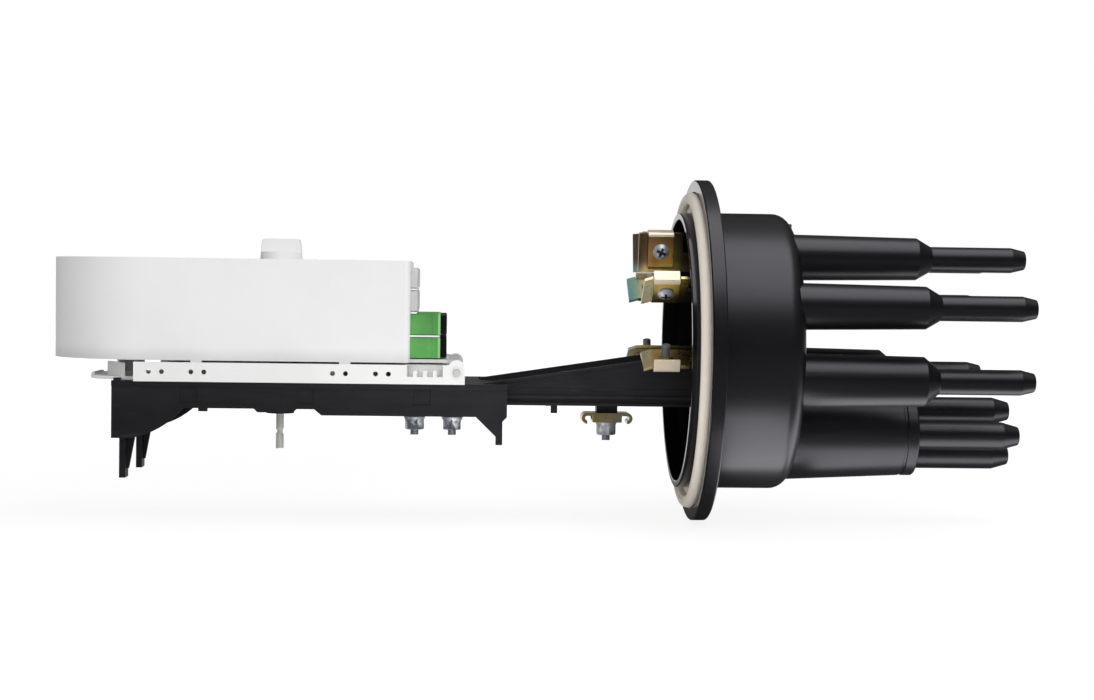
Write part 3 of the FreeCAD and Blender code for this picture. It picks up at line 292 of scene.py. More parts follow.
# the chassis gets painted light towards its top
chassisBlack = mouldedBlack("chassisBlack", deep=(0.0045, 0.0044, 0.0054), worn=(0.046, 0.045, 0.051), scuffed=0.24,
                            rough=0.40, grain=1100.0, grainDepth=0.02, streak=(60.0, 160.0, 420.0), shine=0.46)
capBlack = mouldedBlack("capBlack", rough=0.48, streak=(160.0, 160.0, 160.0), shine=0.30)
# the box gets painted shade along its lower edge
boxWhite = mouldedWhite("boxWhite", dusty=0.45)
trayWhite = mouldedWhite("trayWhite", bright=(0.87, 0.87, 0.865), dull=(0.83, 0.83, 0.82))
# a grey, shaded copy of the white moulding: painted shade on the blank plugs; the hinge pin takes the same grey
shadedWhite = mouldedWhite("shadedWhite", bright=(0.60, 0.60, 0.60), dull=(0.53, 0.53, 0.535))
threadGrey = mouldedWhite("threadGrey", bright=(0.62, 0.61, 0.58), dull=(0.50, 0.49, 0.46), rough=0.35)
adapterGreen = mouldedGreen("adapterGreen", greenLook)
sealCream = creamSilicone("sealCream", sealLook)
clampZinc = yellowZinc("clampZinc", zincLook)
screwZinc = brightZinc("screwZinc")
threadZinc = brightZinc("threadZinc", light=(0.40, 0.41, 0.43), blue=(0.25, 0.28, 0.33))
print("materials made")


# Mesh helpers

def newObject(name, data, *materials):
    piece = bpy.data.objects.new(name, data)
    bpy.context.scene.collection.objects.link(piece)
    for material in materials:
        data.materials.append(material)
    return piece


def asObject(name, bm, *materials):  # bm is used up
    mesh = bpy.data.meshes.new(name)
    bm.to_mesh(mesh)
    bm.free()
    return newObject(name, mesh, *materials)


def fromBmesh(name, bm, *materials):  # a closed form, its faces turned outwards
    bmesh.ops.remove_doubles(bm, verts=bm.verts, dist=1e-7)
    bmesh.ops.recalc_face_normals(bm, faces=bm.faces)
    return asObject(name, bm, *materials)


def painted(piece, material):  # one material on the whole piece
    piece.data.materials.clear()
    piece.data.materials.append(material)
    return piece


def discard(piece):
    mesh = piece.data
    bpy.data.objects.remove(piece)
    bpy.data.meshes.remove(mesh)


def applied(piece):  # modifiers become a plain mesh
    graph = bpy.context.evaluated_depsgraph_get()
    mesh = bpy.data.meshes.new_from_object(piece.evaluated_get(graph), depsgraph=graph)
    old = piece.data
    piece.modifiers.clear()
    piece.data = mesh
    bpy.data.meshes.remove(old)
    return piece


def shaded(piece, sharpAngle=34):  # smooth faces, sharp only at real edges
    piece.data.shade_smooth()
    piece.data.set_sharp_from_angle(angle=math.radians(sharpAngle))
    weighted = piece.modifiers.new("weighted", "WEIGHTED_NORMAL")
    weighted.keep_sharp = True
    return applied(piece)


def seated(piece, slotName, *nodes, body=mainBody):  # the finished piece stands for its CAD nodes
    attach(piece, body)
    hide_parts(*nodes)
    return piece


def boxOf(node):  # corners of a CAD node in mm
    return [[value / mm for value in corner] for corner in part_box(node)]


def roundedOutline(corners):  # corners are (along, out, round) in mm; rounds become arcs
    points = []
    for index, (along, out, radius) in enumerate(corners):
        here = Vector((along, out))
        if radius == 0 or index in (0, len(corners) - 1):
            points.append(here)
            continue
        before = Vector(corners[index - 1][:2]) - here
        after = Vector(corners[index + 1][:2]) - here
        half = before.angle(after) / 2
        reach = min(radius / math.tan(half), 0.48 * before.length, 0.48 * after.length)  # within half a side
        radius = reach * math.tan(half)
        centre = here + (before.normalized() + after.normalized()).normalized() * (radius / math.sin(half))
        start = here + before.normalized() * reach - centre
        end = here + after.normalized() * reach - centre
        steps = max(2, round(math.degrees(start.angle(end)) / 12))  # one for each 12 degrees
        points += [centre + start.slerp(end, step / steps) * radius for step in range(steps + 1)]
    return points


def turn(bm, corners, y=0.0, z=0.0, sides=48):  # solid of revolution about a line along X
    rings = []
    for along, out in roundedOutline(corners):
        if out < 1e-6:
            rings.append([bm.verts.new((along * mm, y * mm, z * mm))])
            continue
        angles = [2 * math.pi * side / sides for side in range(sides)]
        rings.append([bm.verts.new((along * mm, (y + out * math.sin(a)) * mm, (z + out * math.cos(a)) * mm))
                      for a in angles])
    for one, two in zip(rings, rings[1:]):
        for side in range(sides):
            after = (side + 1) % sides
            loop = [one[side % len(one)], one[after % len(one)], two[after % len(two)], two[side % len(two)]]
            bm.faces.new(list(dict.fromkeys(loop)))


def onAxis(corners):  # a solid's outline starts and ends on its axis
    return [(corners[0][0], 0, 0), *corners, (corners[-1][0], 0, 0)]


def bar(start, end, radius, edge=0.0):  # outline of a plain round bar
    return [(start, radius, 0), (end, radius, edge)]


def turnedObject(name, corners, y=0.0, z=0.0, sides=48):
    bm = bmesh.new()
    turn(bm, onAxis(corners), y, z, sides)
    return fromBmesh(name, bm)


def upright(name, corners, x=0.0, sides=48, *materials):  # solid of revolution about a line along Z
    bm = bmesh.new()
    turn(bm, onAxis(corners), sides=sides)
    bm.transform(Matrix.Translation((x * mm, 0, 0)) @ Matrix.Rotation(-math.pi / 2, 4, "Y"))
    return fromBmesh(name, bm, *materials)


def combined(piece, tools, operation):  # tools are used up
    for tool in tools:
        cutter = piece.modifiers.new("combine", "BOOLEAN")
        cutter.operation = operation
        cutter.solver = "EXACT"
        cutter.object = tool
        applied(piece)
        discard(tool)
    return piece


def blockObject(name, low, high, taper=1.0):  # box in mm; taper narrows its lower face
    bm = bmesh.new()
    bmesh.ops.create_cube(bm, size=1.0)
    middle = (Vector(low) + Vector(high)) / 2
    size = Vector(high) - Vector(low)
    for vert in bm.verts:
        share = taper if vert.co.z < 0 else 1.0
        vert.co = Vector((middle.x + vert.co.x * size.x * share, middle.y + vert.co.y * size.y * share,
                          middle.z + vert.co.z * size.z)) * mm
    return fromBmesh(name, bm)


def edgesBroken(piece, width, steps=2, angle=32):  # small rounds on every real edge
    bevel = piece.modifiers.new("edges", "BEVEL")
    bevel.width = width * mm
    bevel.segments = steps
    bevel.limit_method = "ANGLE"
    bevel.angle_limit = math.radians(angle)
    bevel.use_clamp_overlap = True
    return applied(piece)


def softened(name, nodes, width, *materials, steps=2):  # a moulded or pressed copy of CAD nodes
    bm = bmesh.new()
    for node in nodes:
        bm.from_mesh(frame["nodes"][node].data)
    bmesh.ops.remove_doubles(bm, verts=bm.verts, dist=0.004 * mm)  # closes the seams between CAD faces
    flat = math.radians(0.8)  # triangles of one flat face become one face again
    bmesh.ops.dissolve_limit(bm, angle_limit=flat, verts=bm.verts, edges=bm.edges)
    return shaded(edgesBroken(asObject(name, bm, *materials), width, steps))


# Geometry Nodes helpers

def newTree(name, inputs):  # inputs are (name, socket kind)
    tree = bpy.data.node_groups.new(name, "GeometryNodeTree")
    tree.interface.new_socket("Geometry", in_out="INPUT", socket_type="NodeSocketGeometry")
    for label, kind in inputs:
        tree.interface.new_socket(label, in_out="INPUT", socket_type="NodeSocket" + kind)
    tree.interface.new_socket("Geometry", in_out="OUTPUT", socket_type="NodeSocketGeometry")
    return Wire(tree).node("NodeGroupInput")


def closeTree(start, geometry):  # every tree ends in real geometry with its own material
    real = start.node("GeometryNodeRealizeInstances", {0: geometry})
    coated = start.node("GeometryNodeSetMaterial", {"Geometry": real, "Material": start.other("Material")})
    coated.into(start.tree.nodes.new("NodeGroupOutput"), "Geometry")
    return start.tree


def grown(name, mesh, tree, values):  # runs a tree on a mesh and keeps the plain result
    piece = newObject(name, mesh)
    modifier = piece.modifiers.new(tree.name, "NODES")
    modifier.node_group = tree
    for item in tree.interface.items_tree:
        if item.in_out == "INPUT" and item.name in values:
            modifier[item.identifier] = values[item.name]
    return applied(piece)


def prototypeOf(start):
    return start.node("GeometryNodeObjectInfo", {"Object": start.other("Prototype"), "As Instance": True},
                      out="Geometry")


def seatTree():  # one prototype on every point, turned to the point's aim
    start = newTree("piecesOnSeats", [("Prototype", "Object"), ("Spin", "Float"), ("Material", "Material")])
    piece = prototypeOf(start)
    aim = start.node("GeometryNodeInputNamedAttribute", {"Name": "aim"}, data_type="FLOAT_VECTOR")
    facing = start.node("FunctionNodeAlignRotationToVector", {"Vector": aim}, axis="Z")
    placed = start.node("GeometryNodeInstanceOnPoints",
                        {"Points": start.other("Geometry"), "Instance": piece, "Rotation": facing})
    spin = start.node("FunctionNodeRandomValue", {2: 0.0, 3: start.other("Spin"), "Seed": 7}, out=1,
                      data_type="FLOAT")
    about = start.node("ShaderNodeCombineXYZ", {"Z": spin})
    turned = start.node("GeometryNodeRotateInstances", {"Instances": placed, "Rotation": about})
    return closeTree(start, turned)


def rodTree():  # every edge becomes a rod with a helical thread, one turn for each pitch
    start = newTree("threadedRods", [("Radius", "Float"), ("Pitch", "Float"), ("Depth", "Float"),
                                     ("Material", "Material")])
    radius, pitch, depth = (start.other(label) for label in ("Radius", "Pitch", "Depth"))
    axes = start.node("GeometryNodeMeshToCurve", {"Mesh": start.other("Geometry")})
    section = start.node("GeometryNodeCurvePrimitiveCircle", {"Resolution": 24, "Radius": radius - depth},
                         mode="RADIUS")
    core = start.node("GeometryNodeCurveToMesh", {"Curve": axes, "Profile Curve": section, "Fill Caps": True})
    helix = start.node("GeometryNodeCurveSpiral", {"Resolution": 20, "Rotations": 1.0, "Start Radius": radius - depth,
                                                   "End Radius": radius - depth, "Height": pitch})
    ridge = start.node("GeometryNodeCurvePrimitiveCircle", {"Resolution": 6, "Radius": depth}, mode="RADIUS")
    oneTurn = start.node("GeometryNodeCurveToMesh", {"Curve": helix, "Profile Curve": ridge})
    steps = start.node("GeometryNodeResampleCurve", {"Curve": axes, "Length": pitch}, mode="LENGTH")
    tangent = start.node("GeometryNodeInputTangent")
    along = start.node("FunctionNodeAlignRotationToVector", {"Vector": tangent}, axis="Z")
    last = start.node("GeometryNodeCurveEndpointSelection", {"Start Size": 0, "End Size": 1})
    inner = start.node("FunctionNodeBooleanMath", {0: last}, operation="NOT")
    turns = start.node("GeometryNodeInstanceOnPoints",
                       {"Points": steps, "Selection": inner, "Instance": oneTurn, "Rotation": along})
    both = start.node("GeometryNodeJoinGeometry", {"Geometry": core})
    turns.into(both.socket.node, "Geometry")
    return closeTree(start, both)


def gridTree():  # rows and columns of one prototype in the panel's plane
    start = newTree("panelRows", [("Prototype", "Object"), ("Columns", "Int"), ("Rows", "Int"), ("Width", "Float"),
                                  ("Height", "Float"), ("Centre", "Vector"), ("Material", "Material")])
    grid = start.node("GeometryNodeMeshGrid", {"Size X": start.other("Width"), "Size Y": start.other("Height"),
                                               "Vertices X": start.other("Columns"), "Vertices Y": start.other("Rows")})
    panelPlane = (math.pi / 2, 0, math.pi / 2)
    seats = start.node("GeometryNodeTransform", {"Geometry": grid, "Rotation": panelPlane,
                                                 "Translation": start.other("Centre")})
    piece = prototypeOf(start)
    return closeTree(start, start.node("GeometryNodeInstanceOnPoints", {"Points": seats, "Instance": piece}))


piecesOnSeats = seatTree()
threadedRods = rodTree()
panelRows = gridTree()


def seatMesh(name, seats):  # seats are (place, aim) in mm
    mesh = bpy.data.meshes.new(name)
    mesh.from_pydata([Vector(place) * mm for place, aim in seats], [], [])
    aims = mesh.attributes.new("aim", "FLOAT_VECTOR", "POINT")
    for index, (place, aim) in enumerate(seats):
        aims.data[index].vector = aim
    return mesh


def rodMesh(name, rods):  # rods are (start, end) in mm
    mesh = bpy.data.meshes.new(name)
    ends = [Vector(end) * mm for rod in rods for end in rod]
    mesh.from_pydata(ends, [(2 * index, 2 * index + 1) for index in range(len(rods))], [])
    return mesh


def joined(name, pieces):  # several plain objects become one piece
    bm = bmesh.new()
    materials = []
    for piece in pieces:
        start = len(bm.faces)
        bm.from_mesh(piece.data)
        bm.faces.ensure_lookup_table()
        for face in bm.faces[start:]:
            material = piece.data.materials[face.material_index]
            if material not in materials:
                materials.append(material)
            face.material_index = materials.index(material)
        discard(piece)
    return asObject(name, bm, *materials)


# Base: flange, collar, drum and cable ports

base = {"flange": 79.5, "flangeThick": 6.6, "flangeEdge": 0.7, "collar": 64.1, "collarLength": 6.9, "inner": 61.1,
        "drum": 64.3, "drumEnd": 44.5, "shoulder": 8.0, "floor": 40.5, "grooveIn": 67.6, "grooveOut": 74.0,
        "grooveDepth": 1.7, "grooveRound": 0.2, "rootRound": 0.8, "collarRound": 0.5, "floorRound": 1.0,
        "rooted": 41.5, "boreStart": 38.5, "sides": 160}
ports = {"upper": {"barrel": 10.5, "barrelEnd": 9.6}, "side": {"barrel": 10.5, "barrelEnd": 9.6},
         "lower": {"barrel": 12.2, "barrelEnd": 11.2}}
port = {"length": 55.0, "cone": 6.6, "nozzle": 5.75, "tipLength": 6.5, "tip": 4.2, "wall": 2.0, "end": 3.0,
        "barrelRound": 0.7, "coneRound": 0.9, "tipStart": 1.2, "tipRound": 0.9, "sides": 64, "boreSides": 40}
widePort = {"barrel": 22.3, "barrelEnd": 19.8, "length": 54.0, "groove": 1.4, "grooveDepth": 0.7, "grooveRound": 0.2,
            "edge": 0.5, "cap": 5.2, "capRound": 0.9, "nozzle": 6.4, "nozzleLength": 47.8, "tipLength": 7.8,
            "tip": 4.2, "circle": 12.2, "bore": 16.9, "nozzleBore": 3.6, "count": 3, "sides": 96, "boreSides": 64,
            "nozzleSides": 48, "nozzleBoreSides": 24}
gateMark = {"z": 58.6, "radius": 1.2, "height": 2.1, "edge": 0.3, "sides": 16}


def drumOutline():
    b = base
    face, back, groove, lip = 0, b["flangeThick"], b["grooveDepth"], -b["collarLength"]
    return [(b["drumEnd"], b["drum"], b["shoulder"]), (back, b["drum"], b["rootRound"]),
            (back, b["flange"], b["flangeEdge"]), (face, b["flange"], b["flangeEdge"]),
            (face, b["grooveOut"], b["grooveRound"]), (groove, b["grooveOut"], b["grooveRound"]),
            (groove, b["grooveIn"], b["grooveRound"]), (face, b["grooveIn"], b["grooveRound"]),
            (face, b["collar"], b["collarRound"]), (lip, b["collar"], b["collarRound"]),
            (lip, b["inner"], b["collarRound"]), (b["floor"], b["inner"], b["floorRound"])]


def portOutline(sizes, tipEnd):
    barrelEnd = base["drumEnd"] + port["length"]
    return [(base["rooted"], sizes["barrel"], 0), (barrelEnd, sizes["barrelEnd"], port["barrelRound"]),
            (barrelEnd + port["cone"], port["nozzle"], port["coneRound"]),
            (tipEnd - port["tipLength"], port["nozzle"], port["tipStart"]),
            (tipEnd, port["tip"], port["tipRound"])]


def portBore(sizes, tipEnd):
    wide = sizes["barrelEnd"] - port["wall"]
    narrow = port["nozzle"] - port["wall"]
    barrelEnd = base["drumEnd"] + port["length"] - port["wall"]
    return [(base["boreStart"], wide, 0), (barrelEnd, wide, 0), (barrelEnd + port["cone"], narrow, 0),
            (tipEnd - port["end"], narrow, 0)]


def widePortOutline():
    w = widePort
    groove = base["drumEnd"] + w["length"]
    capStart = groove + w["groove"]
    end = capStart + w["cap"]
    low = w["barrelEnd"] - w["grooveDepth"]
    return [(base["rooted"], w["barrel"], 0), (groove, w["barrelEnd"], w["edge"]),
            (groove, low, w["grooveRound"]), (capStart, low, w["grooveRound"]), (capStart, w["barrelEnd"], w["edge"]),
            (end, w["barrelEnd"], w["capRound"])], end


def makeBase():
    w = widePort
    shell = turnedObject("base", drumOutline(), sides=base["sides"])
    gate = bar(base["rooted"], base["drumEnd"] + gateMark["height"], gateMark["radius"], gateMark["edge"])
    outside = [turnedObject("gate", gate, 0, gateMark["z"], gateMark["sides"])]
    bores = []
    for kind, sizes in ports.items():
        for side in ("near", "far"):
            tip = mounts["cable_port_" + kind + "_" + side]
            outside.append(turnedObject("port", portOutline(sizes, tip.x), tip.y, tip.z, port["sides"]))
            bores.append(turnedObject("bore", portBore(sizes, tip.x), tip.y, tip.z, port["boreSides"]))
    centre = mounts["wide_cable_port"]
    outline, end = widePortOutline()
    outside.append(turnedObject("widePort", outline, centre.y, centre.z, w["sides"]))
    boreEnd = end - port["end"]
    wideBore = bar(base["boreStart"], boreEnd, w["bore"], w["edge"])
    bores.append(turnedObject("wideBore", wideBore, 0, centre.z, w["boreSides"]))
    tipEnd = end + w["nozzleLength"]
    root = end - 2 * overlap
    nozzle = [(root, w["nozzle"], 0), (tipEnd - w["tipLength"], w["nozzle"], port["tipStart"]),
              (tipEnd, w["tip"], port["tipRound"])]
    nozzleBore = bar(boreEnd - overlap, tipEnd - port["end"], w["nozzleBore"])
    for index in range(w["count"]):
        angle = math.pi + 2 * math.pi * index / w["count"]
        y = w["circle"] * math.cos(angle)
        z = centre.z + w["circle"] * math.sin(angle)
        outside.append(turnedObject("nozzle", nozzle, y, z, w["nozzleSides"]))
        bores.append(turnedObject("nozzleBore", nozzleBore, y, z, w["nozzleBoreSides"]))
    combined(shell, outside, "UNION")
    combined(shell, bores, "DIFFERENCE")
    return seated(shaded(painted(shell, baseBlack)), "black_plastic", "base_body")


makeBase()
print("base made")

seal = {"ring": 70.8, "section": 2.9, "centre": -1.2, "sides": 192, "steps": 72, "line": 3.75, "lineWide": 0.11,
        "lineDeep": 0.28, "lip": (64.4, 68.6), "lipThick": 0.6, "lipRound": 0.25}


def makeSeal():  # round section with a fine moulding line, and a thin lip inside it
    bm = bmesh.new()
    section = []
    for step in range(seal["steps"] + 1):
        angle = 2 * math.pi * step / seal["steps"]
        out = seal["section"] - seal["lineDeep"] * math.exp(-((angle - seal["line"]) / seal["lineWide"]) ** 2)
        section.append((seal["centre"] + out * math.cos(angle), seal["ring"] + out * math.sin(angle), 0))
    turn(bm, section, sides=seal["sides"])
    inner, outer = seal["lip"]
    thick = seal["lipThick"]
    lip = [(0, outer, 0), (-thick, outer, 0), (-thick, inner, seal["lipRound"]), (0, inner, 0), (0, outer, 0)]
    turn(bm, lip, sides=seal["sides"])
    return seated(shaded(fromBmesh("sealRing", bm, sealCream), threadAngle), "seal_rubber", "seal_ring")


makeSeal()
print("seal made")

# Chassis, tray and box keep their CAD forms, with moulded edges
moulded = {"chassis": (0.45, chassisBlack), "splice_tray": (0.22, trayWhite), "patch_box": (0.45, boxWhite),
           "patch_lid": (0.3, boxWhite), "hinge_pin": (0.4, shadedWhite), "splice_comb_near": (0.15, trayWhite),
           "splice_comb_far": (0.15, trayWhite)}
for node, (width, paint) in moulded.items():
    slotName = "black_plastic" if node == "chassis" else "white_plastic"
    seated(softened(node + "Moulded", [node], width, paint), slotName, node)
print("chassis, tray and box made")

# Retaining screw: knob and shaft, with a thread on its lower end

retainer = {"radius": 1.95, "pitch": 0.9, "depth": 0.42, "threads": ((-29.0, -38.8), (-41.1, -47.8)), "waist": 1.3,
            "knobBottom": 39.7, "knobEdge": 0.7, "rooted": 40.0, "edge": 0.1, "endRound": 0.2, "sides": 32}


def makeRetainer():
    low, high = boxOf("retaining_screw")
    x = (low[0] + high[0]) / 2
    knob = softened("retainingKnob", ["retaining_screw"], retainer["knobEdge"], boxWhite, steps=3)
    bm = bmesh.new()
    bm.from_mesh(knob.data)
    shaftFaces = [face for face in bm.faces if face.calc_center_median().z < retainer["knobBottom"] * mm]
    bmesh.ops.delete(bm, geom=shaftFaces, context="FACES")
    bm.to_mesh(knob.data)
    bm.free()
    (top, waistTop), (waistBottom, end) = retainer["threads"]
    radius, waist, edge, endRound = (retainer[key] for key in ("radius", "waist", "edge", "endRound"))
    core = radius - retainer["depth"]
    outline = [(end, core, endRound), (waistBottom, core, edge), (waistBottom, waist, edge), (waistTop, waist, edge),
               (waistTop, core, edge), (top, core, edge), (top, radius, endRound), (retainer["rooted"], radius, 0)]
    shaft = upright("retainerShaft", outline, x, retainer["sides"], threadGrey)
    rods = rodMesh("retainerThread", [((x, 0, upper), (x, 0, lower)) for upper, lower in retainer["threads"]])
    thread = grown("retainerThread", rods, threadedRods,
                   {"Radius": radius * mm, "Pitch": retainer["pitch"] * mm, "Depth": retainer["depth"] * mm,
                    "Material": threadGrey})
    piece = joined("retainingScrew", [knob, shaded(shaft), shaded(thread, threadAngle)])
    return seated(piece, "white_plastic", "retaining_screw", body="retaining_screw")


makeRetainer()
print("retaining screw made")

# Adapters, dust caps and blank plugs

panel = {"columns": 6, "pitchY": 13.8, "pitchZ": 10.4, "plugEdge": 0.35}
adapter = {"width": 12.8, "height": 9.05, "reach": 13.4, "socketWide": 9.4, "socketHigh": 7.2, "socketDeep": 12.0,
           "keyStart": 1.0, "keyWide": 4.0, "keyDeep": 0.5, "split": 9.6, "splitWide": 0.3, "splitDeep": 0.15,
           "edge": 0.3, "rows": 2}
cap = {"width": 11.4, "height": 8.3, "length": 2.9, "plug": 9.0, "slack": 0.6, "edge": 0.55, "dimple": 0.6,
       "dimpleWide": 0.62, "dimpleHigh": 0.55}
plugRows = ["blank_plugs_row_3", "blank_plugs_row_4"]


def makeAdapters():  # one body with socket, key slot and a fine joint line, set in rows and columns
    low, high = boxOf("adapter_1_1")
    outer = high[0]
    w, h, reach = adapter["width"] / 2, adapter["height"] / 2, adapter["reach"]
    socketW, socketH, keyW = adapter["socketWide"] / 2, adapter["socketHigh"] / 2, adapter["keyWide"] / 2
    body = blockObject("adapterBody", (low[0] - outer, -w, -h), (0, w, h))
    cuts = [blockObject("socket", (-adapter["socketDeep"], -socketW, -socketH), (overlap, socketW, socketH)),
            blockObject("key", (adapter["keyStart"] - reach, -keyW, h - adapter["keyDeep"]),
                        (overlap, keyW, h + overlap))]
    split = adapter["split"] - reach
    for sign in (-1, 1):
        near, far = sorted((sign * (w - adapter["splitDeep"]), sign * (w + overlap)))
        cuts.append(blockObject("split", (split, near, -h - overlap),
                                (split + adapter["splitWide"], far, h + overlap)))
    combined(body, cuts, "DIFFERENCE")
    shaded(edgesBroken(body, adapter["edge"]))
    width = panel["pitchY"] * (panel["columns"] - 1)
    height = panel["pitchZ"] * (adapter["rows"] - 1)
    centre = Vector((outer, 0, (low[2] + high[2] + height) / 2)) * mm
    piece = grown("adapters", bpy.data.meshes.new("adapters"), panelRows,
                  {"Prototype": body, "Columns": panel["columns"], "Rows": adapter["rows"], "Width": width * mm,
                   "Height": height * mm, "Centre": centre, "Material": adapterGreen})
    discard(body)
    return seated(piece, "green_plastic", *[name for name in frame["nodes"] if name.startswith("adapter_")])


def makeCap(node):
    low, high = boxOf(node)
    end = high[0]
    face = end - cap["length"]
    y, z = (low[1] + high[1]) / 2, (low[2] + high[2]) / 2

    def slab(name, start, stop, wide, tall):  # centred on the cap's axis
        return blockObject(name, (start, y - wide, z - tall), (stop, y + wide, z + tall))

    w, h = cap["width"] / 2, cap["height"] / 2
    plugW, plugH = (adapter["socketWide"] - cap["slack"]) / 2, (adapter["socketHigh"] - cap["slack"]) / 2
    head = slab(node + "Cap", face, end, w, h)
    combined(head, [slab("plug", face - cap["plug"], face + overlap, plugW, plugH)], "UNION")
    dimple = slab("dimple", end - cap["dimple"], end + overlap, w * cap["dimpleWide"], h * cap["dimpleHigh"])
    combined(head, [dimple], "DIFFERENCE")
    edgesBroken(head, cap["edge"], 3)
    return seated(shaded(painted(head, capBlack)), "cap_plastic", node, body=node)


makeAdapters()
for node in [name for name in frame["nodes"] if name.startswith("dust_cap_")]:
    makeCap(node)
seated(softened("blankPlugs", plugRows, panel["plugEdge"], shadedWhite), "white_plastic", *plugRows)
print("adapters, caps and plugs made")

# Cable clamps

clampPlaces = {"upper": {"inset": 13.8, "angle": 73.8, "roll": 15.0},
               "side": {"inset": 14.8, "angle": 37.0, "roll": 55.5},
               "lower": {"inset": 21.4, "angle": -5.1, "roll": 111.0}}
clamp = {"screwX": -16.4, "screwOffset": 0.8, "saddle": 2.0, "strip": 1.5, "collar": 1.4, "tail": 5.0, "footIn": 5.9,
         "footOff": -4.625, "footDeep": 2.6, "edge": 0.35, "plateEdge": 0.3, "flange": 1.7}


def clampFrame(kind, side):  # from a clamp's own axes to the object's
    place = clampPlaces[kind]
    radius = base["inner"] - place["inset"]
    angle = math.radians(place["angle"])
    move = Matrix.Translation((0, -radius * math.cos(angle), radius * math.sin(angle)))
    roll = Matrix.Rotation(math.radians(place["roll"]), 4, "X")
    mirror = Matrix.Diagonal((1, 1 if side == "near" else -1, 1, 1))
    return mirror @ move @ roll


def marked(piece, name, test):  # a face attribute, 0..1, that a material can read
    shares = piece.data.attributes.new(name, "FLOAT", "FACE")
    for face in piece.data.polygons:
        shares.data[face.index].value = test(face.center / mm)
    return piece


def makeClamp(kind, side):
    local = clampFrame(kind, side).inverted()
    strip, saddle = ["clamp_" + part + "_" + kind + "_" + side for part in ("strip", "saddle")]
    seated(softened(strip + "Pressed", [strip], clamp["edge"], clampZinc, steps=3), "yellow_zinc", strip)
    pressed = softened(saddle + "Pressed", [saddle], clamp["edge"], clampZinc, steps=3)
    heights = [(local @ (vertex.co / mm)).z for vertex in pressed.data.vertices]
    outer, inner = max(heights) - clamp["flange"], min(heights) + clamp["flange"] / 2

    def flangeHighlightShare(middle):  # painted highlight: whole on the outer flange, half on the inner one
        height = (local @ middle).z
        return 1.0 if height > outer else 0.5 * (height < inner)

    seated(marked(pressed, "flange", flangeHighlightShare), "yellow_zinc", saddle)


for kind in clampPlaces:
    for side in ("near", "far"):
        makeClamp(kind, side)
seated(softened("underPlatePressed", ["under_clamp_plate"], clamp["plateEdge"], clampZinc, steps=3),
       "yellow_zinc", "under_clamp_plate")
print("clamps made")

# Screws, bolts and nuts

screw = {"head": 3.7, "height": 2.4, "rim": 0.7, "neck": 0.3, "seatRound": 0.2, "rimRound": 0.5, "domeDrop": 0.15,
         "domeWide": 0.55, "domeRound": 1.6, "topWide": 0.3, "topRound": 0.6, "crossWide": 1.2, "crossLong": 4.5,
         "crossDeep": 1.9, "crossTaper": 0.62, "edge": 0.1, "edgeAngle": 40, "slack": 0.02, "shank": 2.0, "pitch": 0.7,
         "depth": 0.22, "boltStep": 1.5, "sides": 40}
nut = {"flange": 5.0, "flangeHigh": 1.9, "rim": 0.5, "rimRound": 0.3, "seatRound": 0.2, "high": 4.2, "halfFlats": 4.0,
       "rooted": 0.3, "bevel": 0.55, "bevelRound": 0.1, "bevelTop": 0.2, "bore": 2.0, "boreMouth": 0.25,
       "mouthDeep": 0.4, "edge": 0.12, "edgeAngle": 25, "boreSides": 32}
nutCounts = {"tray_bolt_nuts": 2, "under_clamp_nut": 1}


def panHead():  # cross-recessed head on its seat at the origin, pointing up Z
    s = screw
    outline = [(-s["neck"], s["shank"], 0), (0, s["shank"], 0), (0, s["head"], s["seatRound"]),
               (s["rim"], s["head"], s["rimRound"]),
               (s["height"] - s["domeDrop"], s["head"] * s["domeWide"], s["domeRound"]),
               (s["height"], s["head"] * s["topWide"], s["topRound"])]
    head = upright("panHead", outline, sides=s["sides"])
    low, top = s["height"] - s["crossDeep"], s["height"] + overlap / 2
    half, wide = s["crossLong"] / 2, s["crossWide"] / 2
    arms = [blockObject("arm", (-x, -y, low), (x, y, top), s["crossTaper"]) for x, y in ((half, wide), (wide, half))]
    combined(head, arms, "DIFFERENCE")
    shaded(edgesBroken(head, s["edge"], 2, s["edgeAngle"]))

    def inRecess(middle):
        shorter, longer = sorted((abs(middle.x), abs(middle.y)))
        within = shorter < wide - s["slack"] and longer < half - s["slack"]
        return 1.0 * (within and middle.z > low - s["slack"] / 2)

    # marks the cross recess for its painted shade
    return marked(head, "recess", inRecess)


def flangeNut():  # hangs below its seat at the origin
    n = nut
    radius = n["halfFlats"] / math.cos(math.pi / 6)
    bottom = -n["flangeHigh"] - n["high"]
    bm = bmesh.new()
    corners = [(radius * math.cos(k * math.pi / 3), radius * math.sin(k * math.pi / 3)) for k in range(6)]
    lower, upper = [[bm.verts.new(Vector((*corner, z)) * mm) for corner in corners] for z in (bottom, -n["rooted"])]
    flats = [[lower[k - 1], lower[k], upper[k], upper[k - 1]] for k in (1, 2, 3, 4, 5, 0)]
    for face in [lower, upper] + flats:
        bm.faces.new(face)
    body = fromBmesh("nut", bm)
    bevelled = upright("bevel", [(bottom, n["halfFlats"], n["bevelRound"]), (bottom + n["bevel"], radius, 0),
                                 (-n["bevelTop"], radius + overlap / 2, 0)])
    combined(body, [bevelled], "INTERSECT")
    low = -n["flangeHigh"] - overlap / 2
    flange = upright("flange", [(low, n["halfFlats"], 0), (-n["rim"], n["flange"], n["rimRound"]),
                                (0, n["flange"], n["seatRound"])])
    combined(body, [flange], "UNION")
    mouth = bottom - overlap
    bore = upright("bore", [(mouth, n["bore"] + n["boreMouth"], 0), (bottom + n["mouthDeep"], n["bore"], 0),
                            (overlap, n["bore"], 0)], sides=n["boreSides"])
    combined(body, [bore], "DIFFERENCE")
    return shaded(edgesBroken(body, n["edge"], 2, n["edgeAngle"]))


